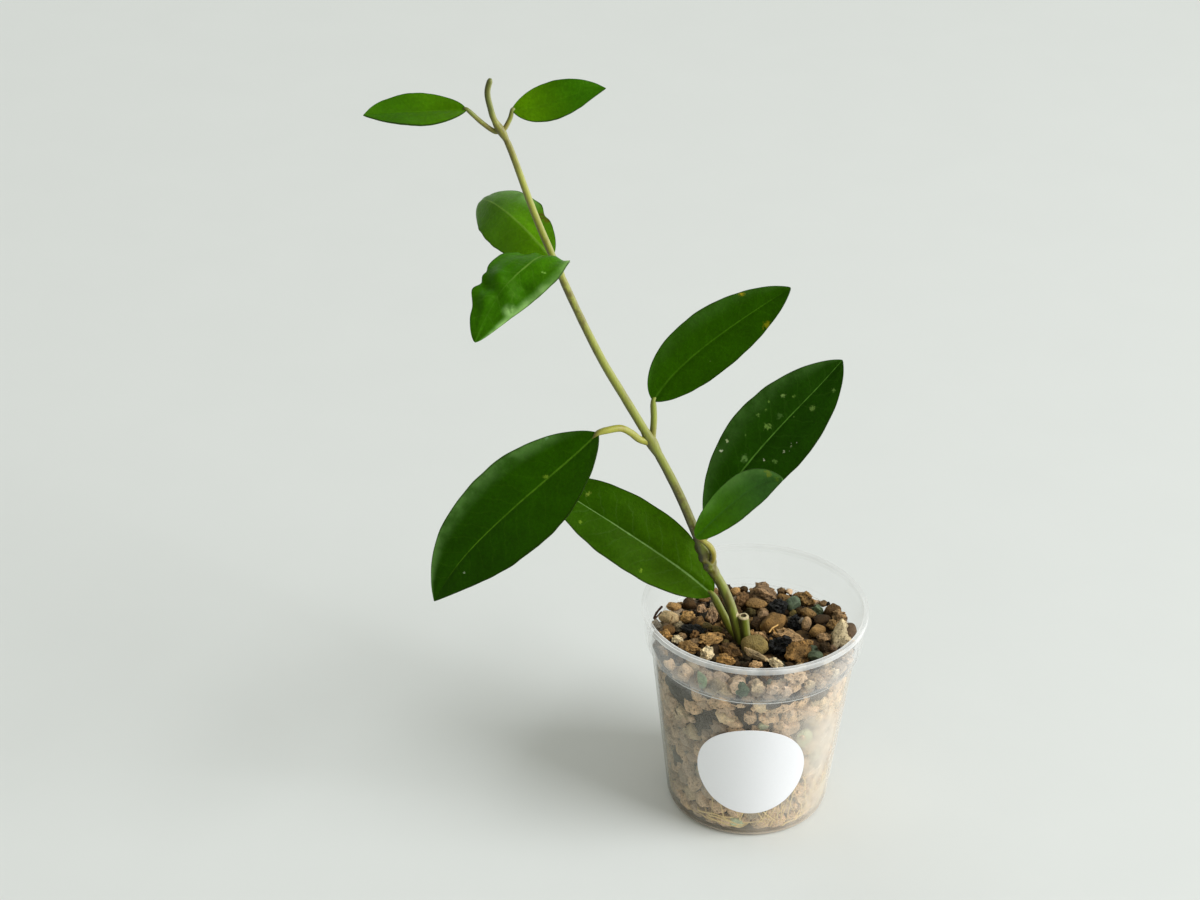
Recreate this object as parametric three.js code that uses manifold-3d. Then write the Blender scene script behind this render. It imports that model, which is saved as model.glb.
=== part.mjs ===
// A young hoya vine in a clear plastic pot of gravel.
// Millimetres, +Z up. The origin is the middle of the pot's flat underside, and the label faces -Y.
import * as THREE from 'three';
import { mergeVertices } from 'three/addons/utils/BufferGeometryUtils.js';
import Module from 'manifold-3d';

const manifold = await Module();
manifold.setup();

// ---- driving dimensions ----

const clearance = 0.3; // between a cut or buried piece and its neighbour

const pot = {
  // [radius, height] points: foot, rounded foot edge, body, stacking step, bowl-shaped band and lip
  outside: [
    [27.2, 0],
    [28.4, 0.96],
    [29.1, 3.2],
    [36.2, 63.6],
    [37.1, 64.6],
    [38.2, 66.8],
    [38.8, 70],
    [39.2, 78.3],
    [40, 78.7],
    [40, 80.5],
  ],
  inside: [
    [26.4, 1],
    [27.7, 2],
    [28.4, 3.8],
    [35.4, 64],
    [36.3, 65.1],
    [37.4, 67.2],
    [38, 70.3],
    [38.3, 79.5],
    [38.3, 80.5],
  ],
  sides: 48,
  drainHoles: 8,
  drainDiameter: 3.2,
  drainCircleRadius: 17,
  drillLength: 4,
  drillSides: 12,
};

const label = {
  diameter: 39.7,
  thickness: 0.4,
  centreHeight: 31.9,
  turn: -1.25, // degrees from straight ahead
  rings: 4,
  spokes: 28,
};

const gravel = {
  bedHeight: [62.2, 63.6], // the packed bed's top in the middle and at the wall
  backDrop: 1.6, // how much lower the gravel lies at the back wall
  sideRows: 10, // rows of stones against the wall
  sidePerRow: 27,
  sideShift: 0.12, // how far a stone may be from its even place, as a share of the spacing
  stoneDepth: [0, 0.3], // how far the stones lie in from the wall
  gapDepth: [1.7, 2.3], // and the gaps between them
  topPebbles: 50,
  topRadius: 35.5,
  topLevel: 64.9, // the loose stones' middles
  topShift: [-1, 1.2],
  turnShift: [-0.1, 0.1],
  seed: 27,
};

// The shape of one rough stone: its half length, its other half sizes as shares of that, and its corners' play.
const pebble = {
  halfLength: [4.1, 5.4],
  width: [0.7, 0.95],
  height: [0.65, 0.9],
  corners: [0.9, 1.15],
};

// The biggest stones on top: place and half sizes.
const bigStones = [
  { at: [4, 26.5, 66.5], size: [5.4, 4, 4] },
  { at: [33, 2, 68], size: [4.2, 4.6, 4.6] },
  { at: [-1.5, -4.5, 65.6], size: [4.8, 4, 3.6] },
  { at: [7.5, 7.5, 66.4], size: [5, 3.8, 3.6] },
  { at: [15, -7, 66], size: [5, 4, 3.8] },
  { at: [-16, -1, 66.4], size: [5, 3.2, 3.4] },
];

const stem = {
  // from the buried foot to the growing tip
  route: [
    [-1, 0, 38],
    [-2, 0, 52],
    [-4.8, 0, 65.5],
    [-8, 0, 78],
    [-11.5, 0, 87.5],
    [-16.5, -0.5, 97.5],
    [-22, -1, 111.5],
    [-28.5, -1.5, 128],
    [-36.5, -2, 145],
    [-47.5, -1.5, 165],
    [-55.5, -1, 179.5],
    [-64.5, 0.5, 198.5],
    [-73.5, 1.5, 220],
    [-79, 2.5, 234],
    [-86.5, 4.5, 255],
    [-91, 5.5, 263],
    [-92.5, 6, 267.5],
    [-93.5, 7, 272.5],
    [-92.5, 8, 277],
  ],
  baseRadius: 2,
  topRadius: 0.65,
  steps: 58,
  sides: 8,
  // swollen leaf joints
  joints: [
    { at: [-17.2, -0.8, 99.5], swell: 0.9, reach: 5 },
    { at: [-38, -2, 148], swell: 0.6, reach: 3.5 },
    { at: [-71, 1, 212.5], swell: 0.3, reach: 3 },
    { at: [-89.5, 5, 260], swell: 0.45, reach: 2.5 },
  ],
};

// The cut-off old shoot beside the stem.
const stump = {
  foot: [-1.5, -0.6, 58],
  top: [-4, -1.6, 77],
  radius: 1.75,
  pithRadius: 0.85,
  pithDepth: 1.8,
  pithOverrun: 1, // how far the tool that makes the hollow stands out of the top
  sides: 10,
};

// Each leaf has a stalk from the stem, a midrib (a cubic curve's four control points), the direction across
// the blade, half widths on both sides of the midrib, how the outline swells from base and tip, and how the
// margins fold up (+) or droop (-) and ripple: how much, how many waves, and where the waves start on each side.
const leaves = [
  {
    name: 'leaf_top_left',
    stalk: [[-89.5, 5, 260], [-91.5, 5.5, 259.7], [-95.5, 6, 262.5]],
    stalkRadius: [0.85, 0.7],
    midrib: [[-100.2, 6, 267], [-113.4, 5, 266.2], [-123.7, 2, 267.8], [-132.7, -2, 268]],
    across: [0.21, -0.88, -0.42],
    half: [6.8, 6.8],
    outline: [0.68, 0.9],
    fold: 8,
    ripple: 0.2,
    ripples: 2,
    rippleStart: [2.2, 0],
  },
  {
    name: 'leaf_top_right',
    stalk: [[-89.5, 5, 260], [-88, 5.5, 260.5], [-86.2, 7, 263.5]],
    stalkRadius: [0.85, 0.7],
    midrib: [[-85.5, 8, 266.2], [-74, 9, 266.2], [-66.4, 12, 271.9], [-55.5, 15, 271]],
    across: [-0.26, 0.64, 0.72],
    half: [6.4, 6.4],
    outline: [0.65, 0.93],
    fold: 8,
    ripple: 0.2,
    ripples: 2,
    rippleStart: [2.2, 0],
  },
  {
    name: 'leaf_upper_back',
    stalk: [[-71, 1, 212.5], [-71.5, 3, 213.2]],
    stalkRadius: [1, 0.9],
    midrib: [[-72.7, 5, 213.7], [-82.6, 14.5, 223.1], [-96.8, 30.3, 227], [-98.1, 42.3, 215.2]],
    across: [-0.62, -0.42, -0.57],
    half: [10.3, 12.1],
    outline: [0.64, 0.76],
    fold: -24,
    ripple: 0.44,
    ripples: 2.2,
    rippleStart: [1.3, -0.65],
  },
  {
    name: 'leaf_upper_front',
    stalk: [[-71, 1, 212.5], [-71, -1.5, 213]],
    stalkRadius: [1, 0.9],
    midrib: [[-71.9, -3.4, 214.6], [-70.2, -7.6, 229.5], [-89, -21, 222], [-96.4, -29.9, 201.2]],
    across: [1, -0.06, -0.02],
    half: [10.8, 10.8],
    outline: [0.69, 0.73],
    fold: -16.4,
    ripple: 0.4,
    ripples: 2.34,
    rippleStart: [2.5, -0.2],
  },
  {
    name: 'leaf_middle_left',
    stalk: [[-38, -2, 148], [-42, -3.5, 149.8], [-45, -5, 153.2], [-48.5, -7, 156.2], [-53, -9, 156.6]],
    stalkRadius: [1.25, 1.1],
    midrib: [[-56.3, -10, 156], [-76.2, -14, 135], [-101.2, -22, 120.1], [-111, -30, 100.3]],
    across: [0.67, -0.59, -0.45],
    half: [16.2, 16.5],
    outline: [0.76, 0.92],
    fold: 8,
    ripple: 0.5,
    ripples: 2.5,
    rippleStart: [2.2, 0],
  },
  {
    name: 'leaf_middle_right',
    stalk: [[-38, -2, 148], [-37.6, -1, 151.5], [-37.4, 0, 156.5]],
    stalkRadius: [1.2, 1],
    midrib: [[-37.7, 1, 162.4], [-29.8, 4, 177.5], [-8.7, 10, 189.4], [7.7, 16, 198.7]],
    across: [-0.64, 0.45, 0.62],
    half: [10.6, 10.9],
    outline: [0.68, 0.81],
    fold: 8,
    ripple: 0.4,
    ripples: 2,
    rippleStart: [2.2, 0],
  },
  {
    name: 'leaf_lower_right_large',
    stalk: [[-17.5, -0.5, 100], [-20.5, 2.2, 102], [-20.5, 4.8, 103]],
    stalkRadius: [1.2, 1.1],
    midrib: [[-17.6, 7, 104.5], [-11.6, 12, 128], [9, 20, 142.9], [27.8, 28, 164.3]],
    across: [-0.77, 0.49, 0.4],
    half: [14.3, 14.3],
    outline: [1.05, 0.79],
    fold: 8,
    ripple: 0.5,
    ripples: 2.5,
    rippleStart: [2.2, 0],
  },
  {
    name: 'leaf_lower_right_small',
    stalk: [[-17, -1, 98], [-15.6, -2.5, 102], [-16.4, -4, 106.5], [-19, -5, 110]],
    stalkRadius: [1.25, 1.1],
    midrib: [[-22, -5, 111.6], [-6.5, -8, 132.7], [-2.3, -12, 139.5], [6.1, -17, 143.3]],
    across: [-0.44, 0.65, 0.63],
    half: [7, 7],
    outline: [0.53, 0.77],
    fold: 8,
    ripple: 0.3,
    ripples: 2,
    rippleStart: [2.2, 0],
  },
  {
    name: 'leaf_base_left',
    stalk: [[-4.6, 3.7, 59], [-6.6, 3.7, 64.5], [-9, 3.8, 69.5], [-12, 3.9, 76]],
    stalkRadius: [1.5, 1.3],
    midrib: [[-15, 4, 82], [-32.1, 7, 97.3], [-55.7, 13, 108.6], [-74.6, 20, 118.6]],
    across: [-0.51, -0.66, -0.55],
    half: [13.3, 12.6],
    outline: [0.62, 0.7],
    fold: 8,
    ripple: 0.5,
    ripples: 2.5,
    rippleStart: [2.2, 0],
  },
];

const blade = {
  thickness: 0.8,
  stepsAlong: 12,
  stepsAcross: 6,
  endHalfWidth: 0.5,
  ribReach: [0.05, 0.14], // how far the stalk runs on under the blade, as shares of the midrib
  ribSink: 0.35,
};

const stalk = {
  sides: 7,
  stepLength: 3,
  fewestSteps: 6,
  thinFrom: 0.75, // the share of its length after which it thins under the blade
  endRadius: 0.55,
};

// Root strands: each comes to the wall at an angle and height, then runs down and along the bottom edge.
const roots = {
  crown: [-1, 0, 35.4],
  crownRadius: 2,
  crownSides: [8, 6],
  radius: 0.7,
  thinning: 0.25, // the share of its radius that a strand loses along its length
  wallGap: 0.1, // between a strand and the gravel's side
  sag: 2, // how far a strand hangs down on its way from the crown to the wall
  sides: 5,
  steps: 16,
  wallPoints: 6,
  bottomHeight: 3.4,
  strands: [
    { angle: -58, height: 20, sweep: -40 },
    { angle: -28, height: 14, sweep: 50 },
    { angle: -128, height: 12, sweep: -38 },
    { angle: 110, height: 17, sweep: 50 },
  ],
};

// ---- shared helpers ----

const radians = THREE.MathUtils.degToRad;

function vector(values) {
  return new THREE.Vector3(...values);
}

function seededRandom(seed) {
  let state = seed;
  return () => {
    state = (state + 0x6d2b79f5) | 0;
    let mixed = Math.imul(state ^ (state >>> 15), 1 | state);
    mixed = (mixed + Math.imul(mixed ^ (mixed >>> 7), 61 | mixed)) ^ mixed;
    return ((mixed ^ (mixed >>> 14)) >>> 0) / 4294967296;
  };
}

function between(random, low, high) {
  return low + (high - low) * random();
}

// A closed geometry with its shared corners merged and its flat, zero-area triangles dropped.
function welded(geometry) {
  const bare = geometry.clone();
  bare.deleteAttribute('normal');
  bare.deleteAttribute('uv');
  const merged = mergeVertices(bare, 1e-4);
  const kept = [];
  for (let i = 0; i < merged.index.count; i += 3) {
    const [a, b, c] = [merged.index.getX(i), merged.index.getX(i + 1), merged.index.getX(i + 2)];
    if (a !== b && b !== c && a !== c) kept.push(a, b, c);
  }
  merged.setIndex(kept);
  return merged;
}

function toSolid(geometry) {
  const closed = welded(geometry);
  return new manifold.Manifold(
    new manifold.Mesh({
      numProp: 3,
      vertProperties: new Float32Array(closed.attributes.position.array),
      triVerts: new Uint32Array(closed.index.array),
    }),
  );
}

// The biggest body of a joined or cut solid: sealed pockets are filled and loose scraps dropped.
function mainBody(solid) {
  const bodies = solid.decompose();
  bodies.sort((a, b) => b.volume() - a.volume());
  return bodies[0];
}

function toGeometry(solid) {
  const mesh = mainBody(solid).getMesh();
  const geometry = new THREE.BufferGeometry();
  geometry.setAttribute('position', new THREE.BufferAttribute(new Float32Array(mesh.vertProperties), 3));
  geometry.setIndex(new THREE.BufferAttribute(new Uint32Array(mesh.triVerts), 1));
  geometry.computeVertexNormals();
  return geometry;
}

function joined(solids) {
  return solids.reduce((sum, solid) => sum.add(solid));
}

function indexedGeometry(points, triangles) {
  const geometry = new THREE.BufferGeometry().setFromPoints(points);
  geometry.setIndex(triangles);
  return geometry;
}

// A round body along a curve, with a radius that may change, closed by a fan at each end.
function taperedTube(curve, radiusAt, steps, sides) {
  const frames = curve.computeFrenetFrames(steps, false);
  const points = [];
  const triangles = [];
  for (let i = 0; i <= steps; i += 1) {
    const centre = curve.getPointAt(i / steps);
    const radius = radiusAt(centre, i / steps);
    for (let j = 0; j < sides; j += 1) {
      const angle = (2 * Math.PI * j) / sides;
      const spoke = frames.normals[i].clone().multiplyScalar(Math.cos(angle) * radius);
      spoke.addScaledVector(frames.binormals[i], Math.sin(angle) * radius);
      points.push(spoke.add(centre));
    }
  }
  for (let i = 0; i < steps; i += 1) {
    for (let j = 0; j < sides; j += 1) {
      const a = i * sides + j;
      const b = i * sides + ((j + 1) % sides);
      triangles.push(a, b, b + sides, a, b + sides, a + sides);
    }
  }
  const start = points.push(curve.getPointAt(0)) - 1;
  const end = points.push(curve.getPointAt(1)) - 1;
  for (let j = 0; j < sides; j += 1) {
    const next = (j + 1) % sides;
    triangles.push(start, next, j, end, steps * sides + j, steps * sides + next);
  }
  return indexedGeometry(points, triangles);
}

// A lathe about the Z axis from [radius, height] points.
function turned(profile, sides) {
  const points = profile.map(([radius, height]) => new THREE.Vector2(radius, height));
  return new THREE.LatheGeometry(points, sides).rotateX(Math.PI / 2);
}

// ---- pot ----

// A radius on one of the two profiles at a height.
function radiusOf(profile, height) {
  const above = profile.findIndex(([, z]) => z >= height);
  const [r1, z1] = profile[Math.max(above, 1)];
  const [r0, z0] = profile[Math.max(above, 1) - 1];
  return r0 + ((r1 - r0) * (height - z0)) / (z1 - z0);
}

function potGeometry() {
  const floorHeight = pot.inside[0][1];
  const profile = [[0, 0], ...pot.outside, ...pot.inside.toReversed(), [0, floorHeight]];
  let solid = toSolid(turned(profile, pot.sides));
  for (let i = 0; i < pot.drainHoles; i += 1) {
    const angle = (2 * Math.PI * i) / pot.drainHoles;
    const radius = pot.drainDiameter / 2;
    const drill = new THREE.CylinderGeometry(radius, radius, pot.drillLength, pot.drillSides);
    drill.rotateX(Math.PI / 2);
    drill.translate(Math.cos(angle) * pot.drainCircleRadius, Math.sin(angle) * pot.drainCircleRadius, 0);
    solid = solid.subtract(toSolid(drill));
  }
  return toGeometry(solid);
}

// ---- label: a round sticker that follows the pot's wall ----

function labelGeometry() {
  const points = [];
  const onWall = (across, up, lift) => {
    const height = label.centreHeight + up;
    const radius = radiusOf(pot.outside, height) + lift;
    const angle = radians(label.turn - 90) + across / radius;
    return new THREE.Vector3(Math.cos(angle) * radius, Math.sin(angle) * radius, height);
  };
  const lifts = [clearance, clearance + label.thickness];
  for (const lift of lifts) {
    points.push(onWall(0, 0, lift));
    for (let ring = 1; ring <= label.rings; ring += 1) {
      for (let spoke = 0; spoke < label.spokes; spoke += 1) {
        const angle = (2 * Math.PI * spoke) / label.spokes;
        const reach = (label.diameter / 2) * (ring / label.rings);
        points.push(onWall(Math.cos(angle) * reach, Math.sin(angle) * reach, lift));
      }
    }
  }
  const perFace = 1 + label.rings * label.spokes;
  const triangles = [];
  for (let spoke = 0; spoke < label.spokes; spoke += 1) {
    const next = (spoke + 1) % label.spokes;
    for (let ring = 0; ring < label.rings; ring += 1) {
      const outer = 1 + ring * label.spokes;
      const inner = outer - label.spokes;
      const corners = [outer + spoke, outer + next];
      const faces = ring === 0
        ? [[0, corners[0], corners[1]]]
        : [[inner + spoke, corners[0], corners[1]], [inner + spoke, corners[1], inner + next]];
      for (const [a, b, c] of faces) {
        triangles.push(a + perFace, b + perFace, c + perFace, a, c, b);
      }
    }
    const edge = 1 + (label.rings - 1) * label.spokes;
    const [a, b] = [edge + spoke, edge + next];
    triangles.push(a, b, b + perFace, a, b + perFace, a + perFace);
  }
  return indexedGeometry(points, triangles);
}

// ---- vine ----

const stemCurve = new THREE.CatmullRomCurve3(stem.route.map(vector));

function stemRadius(point, extra = 0) {
  const [low, high] = [stem.route[0][2], stem.route.at(-1)[2]];
  let radius = THREE.MathUtils.mapLinear(point.z, low, high, stem.baseRadius, stem.topRadius);
  for (const joint of stem.joints) {
    const distance = point.distanceTo(vector(joint.at));
    radius += joint.swell * Math.exp(-((distance / joint.reach) ** 2));
  }
  return radius + extra;
}

function stemSolid(extra = 0) {
  return toSolid(taperedTube(stemCurve, (point) => stemRadius(point, extra), stem.steps, stem.sides));
}

function stumpSolid(extra = 0) {
  const path = new THREE.LineCurve3(vector(stump.foot), vector(stump.top));
  return toSolid(taperedTube(path, () => stump.radius + extra, 2, stump.sides));
}

function vineSolid() {
  const direction = vector(stump.top).sub(vector(stump.foot)).normalize();
  const pithFoot = vector(stump.top).addScaledVector(direction, -stump.pithDepth);
  const pithTop = vector(stump.top).addScaledVector(direction, stump.pithOverrun);
  const pithPath = new THREE.LineCurve3(pithFoot, pithTop);
  const pith = toSolid(taperedTube(pithPath, () => stump.pithRadius, 1, stump.sides));
  return stemSolid().add(stumpSolid()).subtract(pith);
}

// ---- leaves ----

// How wide the blade is at a share of its length, as a share of its widest.
function outlineWidth(share, [atBase, atTip]) {
  const widest = atBase / (atBase + atTip);
  return (share ** atBase * (1 - share) ** atTip) / (widest ** atBase * (1 - widest) ** atTip);
}

function midribCurve(leaf) {
  return new THREE.CubicBezierCurve3(...leaf.midrib.map(vector));
}

// The midrib's point at a share of the length, with the directions across the blade and out of its upper face.
function midribFrame(leaf, share) {
  const rib = midribCurve(leaf);
  const tangent = rib.getTangent(share);
  const across = vector(leaf.across);
  across.addScaledVector(tangent, -across.dot(tangent)).normalize();
  const up = new THREE.Vector3().crossVectors(tangent, across);
  return { point: rib.getPoint(share), across, up };
}

function bladePoint(leaf, share, side) {
  const { point, across, up } = midribFrame(leaf, share);
  const width = outlineWidth(share, leaf.outline);
  const half = Math.max(width * leaf.half[side < 0 ? 0 : 1], blade.endHalfWidth);
  const reach = Math.abs(side) * half;
  const start = leaf.rippleStart[side < 0 ? 0 : 1];
  const wave = Math.sin(2 * Math.PI * leaf.ripples * share + start);
  const ripple = leaf.ripple * side * side * Math.sqrt(width) * wave;
  point.addScaledVector(across, Math.sign(side) * reach * Math.cos(radians(leaf.fold)));
  point.addScaledVector(up, reach * Math.sin(radians(leaf.fold)) + ripple);
  return { point, up };
}

function bladeGeometry(leaf) {
  const { stepsAlong, stepsAcross, thickness } = blade;
  const columns = stepsAcross + 1;
  const perFace = columns * (stepsAlong + 1);
  const points = [];
  for (const lift of [thickness / 2, -thickness / 2]) {
    for (let i = 0; i <= stepsAlong; i += 1) {
      const even = i / stepsAlong;
      const share = (even + (1 - Math.cos(Math.PI * even)) / 2) / 2; // closer rows at base and tip
      for (let j = 0; j <= stepsAcross; j += 1) {
        const { point, up } = bladePoint(leaf, share, -1 + (2 * j) / stepsAcross);
        points.push(point.addScaledVector(up, lift));
      }
    }
  }
  const triangles = [];
  const strip = (a, b) => triangles.push(a, b, b + perFace, a, b + perFace, a + perFace);
  for (let i = 0; i < stepsAlong; i += 1) {
    for (let j = 0; j < stepsAcross; j += 1) {
      const [a, b] = [i * columns + j, (i + 1) * columns + j];
      triangles.push(a, b, b + 1, a, b + 1, a + 1);
      triangles.push(a + perFace, b + 1 + perFace, b + perFace, a + perFace, a + 1 + perFace, b + 1 + perFace);
    }
    strip((i + 1) * columns, i * columns);
    strip(i * columns + stepsAcross, (i + 1) * columns + stepsAcross);
  }
  for (let j = 0; j < stepsAcross; j += 1) {
    strip(j, j + 1);
    strip(stepsAlong * columns + j + 1, stepsAlong * columns + j);
  }
  return indexedGeometry(points, triangles);
}

// The stalk runs from the stem to the blade and on under its first stretch as the thick end of the midrib.
function stalkSolid(leaf, extra = 0) {
  const underBlade = blade.ribReach.map((share) => {
    const { point, up } = midribFrame(leaf, share);
    return point.addScaledVector(up, -blade.ribSink);
  });
  const path = new THREE.CatmullRomCurve3([...leaf.stalk.map(vector), vector(leaf.midrib[0]), ...underBlade]);
  const steps = Math.max(stalk.fewestSteps, Math.round(path.getLength() / stalk.stepLength));
  const [first, last] = leaf.stalkRadius;
  const radiusAt = (point, share) => {
    const thinning = Math.max(0, (share - stalk.thinFrom) / (1 - stalk.thinFrom));
    return THREE.MathUtils.lerp(first + (last - first) * share, stalk.endRadius, thinning) + extra;
  };
  return toSolid(taperedTube(path, radiusAt, steps, stalk.sides));
}

// ---- roots ----

const gravelOutside = pot.inside.map(([radius, height]) => [radius - clearance, height + clearance]);

function strandCurve(strand) {
  const crown = vector(roots.crown);
  const points = [crown];
  for (let i = 0; i <= roots.wallPoints; i += 1) {
    const share = i / roots.wallPoints;
    const angle = radians(strand.angle + strand.sweep * share);
    const height = THREE.MathUtils.lerp(strand.height, roots.bottomHeight, Math.sqrt(share));
    const radius = radiusOf(gravelOutside, height) - roots.radius - roots.wallGap;
    points.push(new THREE.Vector3(Math.cos(angle) * radius, Math.sin(angle) * radius, height));
  }
  const middle = crown.clone().lerp(points[1], 0.5);
  middle.z -= roots.sag;
  points.splice(1, 0, middle);
  return new THREE.CatmullRomCurve3(points);
}

function rootsSolid(extra = 0) {
  const crown = new THREE.SphereGeometry(roots.crownRadius + extra, ...roots.crownSides);
  crown.translate(...roots.crown);
  const strands = roots.strands.map((strand) => {
    const radiusAt = (point, share) => roots.radius * (1 - roots.thinning * share) + extra;
    return toSolid(taperedTube(strandCurve(strand), radiusAt, roots.steps, roots.sides));
  });
  return joined([toSolid(crown), ...strands]);
}

// ---- gravel ----

// One rough stone: a squashed twenty-sided ball with its corners moved a little in or out.
function pebbleSolid(centre, size, random) {
  const stone = welded(new THREE.IcosahedronGeometry(1, 0));
  const corners = stone.attributes.position;
  const turn = new THREE.Euler(...[0, 1, 2].map(() => between(random, 0, 2 * Math.PI)));
  for (let i = 0; i < corners.count; i += 1) {
    const corner = new THREE.Vector3().fromBufferAttribute(corners, i);
    corner.applyEuler(turn).multiplyScalar(between(random, ...pebble.corners));
    corners.setXYZ(i, corner.x * size[0], corner.y * size[1], corner.z * size[2]);
  }
  stone.rotateZ(between(random, 0, 2 * Math.PI));
  return toSolid(stone.translate(...centre));
}

function pebbleSize(random) {
  const length = between(random, ...pebble.halfLength);
  return [length, length * between(random, ...pebble.width), length * between(random, ...pebble.height)];
}

// How much lower the gravel lies at a place, from nothing in the middle to backDrop at the back wall.
function dropAt(y) {
  return gravel.backDrop * Math.max(0, y / gravel.topRadius);
}

// The stones on top follow a sunflower spiral, which spaces them evenly, with each one shifted a little.
function topPebbles(random) {
  const goldenAngle = Math.PI * (3 - Math.sqrt(5));
  const stones = [];
  for (let i = 0; i < gravel.topPebbles; i += 1) {
    const radius = gravel.topRadius * Math.sqrt((i + 0.5) / gravel.topPebbles);
    const angle = i * goldenAngle + between(random, ...gravel.turnShift);
    const [x, y] = [Math.cos(angle) * radius, Math.sin(angle) * radius];
    const height = gravel.topLevel - dropAt(y) + between(random, ...gravel.topShift);
    stones.push(pebbleSolid([x, y, height], pebbleSize(random), random));
  }
  return stones;
}

// The packed bed. Its side stands out as staggered rows of stones, with gaps pressed in round each one.
function bedGeometry(random) {
  const columns = gravel.sidePerRow * 2;
  const levels = gravel.sideRows * 2;
  const [bottomRadius, bottom] = gravelOutside[0];
  const [middleTop, edgeTop] = gravel.bedHeight;
  const points = [];
  const triangles = [];
  for (let level = 0; level <= levels; level += 1) {
    const row = (level - 1) / 2;
    for (let column = 0; column < columns; column += 1) {
      const isStone = Number.isInteger(row) && (column + row) % 2 === 0;
      const depth = between(random, ...(isStone ? gravel.stoneDepth : gravel.gapDepth));
      const shift = between(random, -gravel.sideShift, gravel.sideShift);
      const angle = (2 * Math.PI * (column + shift)) / columns;
      const rise = level / levels;
      const drop = rise * dropAt(Math.sin(angle) * gravel.topRadius);
      const height = THREE.MathUtils.lerp(bottom, edgeTop, rise) - drop;
      const radius = (level === 0 ? bottomRadius : radiusOf(gravelOutside, height)) - depth;
      points.push(new THREE.Vector3(Math.cos(angle) * radius, Math.sin(angle) * radius, height));
    }
  }
  const [foot, top] = [points.length, points.length + 1];
  points.push(new THREE.Vector3(0, 0, bottom), new THREE.Vector3(0, 0, middleTop));
  for (let column = 0; column < columns; column += 1) {
    const next = (column + 1) % columns;
    for (let level = 0; level < levels; level += 1) {
      const [a, b] = [level * columns + column, level * columns + next];
      triangles.push(a, b, b + columns, a, b + columns, a + columns);
    }
    triangles.push(foot, next, column, top, levels * columns + column, levels * columns + next);
  }
  return indexedGeometry(points, triangles);
}

function gravelGeometry(buried) {
  const random = seededRandom(gravel.seed);
  const room = [[0, gravelOutside[0][1]], ...gravelOutside, [0, gravelOutside.at(-1)[1]]];
  const heap = joined([
    toSolid(bedGeometry(random)),
    ...topPebbles(random),
    ...bigStones.map(({ at, size }) => pebbleSolid(at, size, random)),
  ]);
  return toGeometry(heap.intersect(toSolid(turned(room, pot.sides))).subtract(joined(buried)));
}

// ---- materials and assembly ----

const finishes = {
  pot: { color: 0xe9ecea, roughness: 0.25, metalness: 0, transparent: true, opacity: 0.35 },
  label: { color: 0xf4f5f8, roughness: 0.7, metalness: 0 },
  gravel: { color: 0xa5835f, roughness: 0.9, metalness: 0 },
  roots: { color: 0xd8bd8c, roughness: 0.8, metalness: 0 },
  vine: { color: 0x8a9440, roughness: 0.5, metalness: 0 },
  leaf: { color: 0x2c5f1c, roughness: 0.4, metalness: 0 },
};

const plant = new THREE.Group();

function addPiece(name, geometry, finish = name) {
  const piece = new THREE.Mesh(geometry, new THREE.MeshStandardMaterial(finishes[finish]));
  piece.name = name;
  plant.add(piece);
}

const stemRoom = stemSolid(clearance).add(stumpSolid(clearance));
const baseLeaf = leaves.find((leaf) => leaf.name === 'leaf_base_left');
const buried = [stemRoom, stalkSolid(baseLeaf, clearance), rootsSolid(clearance)];

addPiece('pot', potGeometry());
addPiece('label', labelGeometry());
addPiece('gravel', gravelGeometry(buried));
addPiece('roots', toGeometry(rootsSolid()));
addPiece('vine', toGeometry(vineSolid()));
for (const leaf of leaves) {
  const solid = toSolid(bladeGeometry(leaf)).add(stalkSolid(leaf)).subtract(stemRoom);
  addPiece(leaf.name, toGeometry(solid), 'leaf');
}

export default plant;
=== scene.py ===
import math
import random

import bpy
from mathutils import Matrix, Vector, noise


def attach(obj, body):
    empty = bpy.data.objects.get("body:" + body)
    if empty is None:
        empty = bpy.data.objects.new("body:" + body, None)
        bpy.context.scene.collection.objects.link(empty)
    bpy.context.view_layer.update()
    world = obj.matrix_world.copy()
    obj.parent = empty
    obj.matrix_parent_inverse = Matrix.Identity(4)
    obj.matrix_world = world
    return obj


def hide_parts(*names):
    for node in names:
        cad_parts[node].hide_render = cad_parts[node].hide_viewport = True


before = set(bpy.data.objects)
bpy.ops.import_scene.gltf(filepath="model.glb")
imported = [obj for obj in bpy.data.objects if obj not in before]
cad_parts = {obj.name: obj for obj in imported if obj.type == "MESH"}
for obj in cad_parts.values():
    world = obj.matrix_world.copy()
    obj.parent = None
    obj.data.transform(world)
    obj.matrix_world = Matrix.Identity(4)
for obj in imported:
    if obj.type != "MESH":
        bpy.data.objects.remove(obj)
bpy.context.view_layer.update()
mm = 0.001  # sizes below are in millimetres, as on the real plant
fullTurn = 2 * math.pi
print("frame loaded with", len(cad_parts), "nodes")


# camera: a long lens that looks down on the pot from the front

camera = {"lens": 90, "sensor": 36, "nearest": 0.01, "place": (-55.49, -876.36, 672.8), "lookDown": 31.14,
          "roll": 0.92}


def makeCamera():
    data = bpy.data.cameras.new("frontCamera")
    data.lens = camera["lens"]
    data.sensor_width = camera["sensor"]
    data.clip_start = camera["nearest"]
    seen = bpy.data.objects.new("frontCamera", data)
    bpy.context.collection.objects.link(seen)
    tilt = Matrix.Rotation(math.radians(90 - camera["lookDown"]), 4, "X")
    roll = Matrix.Rotation(math.radians(camera["roll"]), 4, "Z")
    seen.matrix_world = Matrix.Translation(Vector(camera["place"]) * mm) @ tilt @ roll
    bpy.context.scene.camera = seen


makeCamera()


# small tools for objects

def deselectAll():
    active = bpy.context.view_layer.objects.active
    if active is not None and active.mode != "OBJECT":
        bpy.ops.object.mode_set(mode="OBJECT")
    bpy.ops.object.select_all(action="DESELECT")


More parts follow.
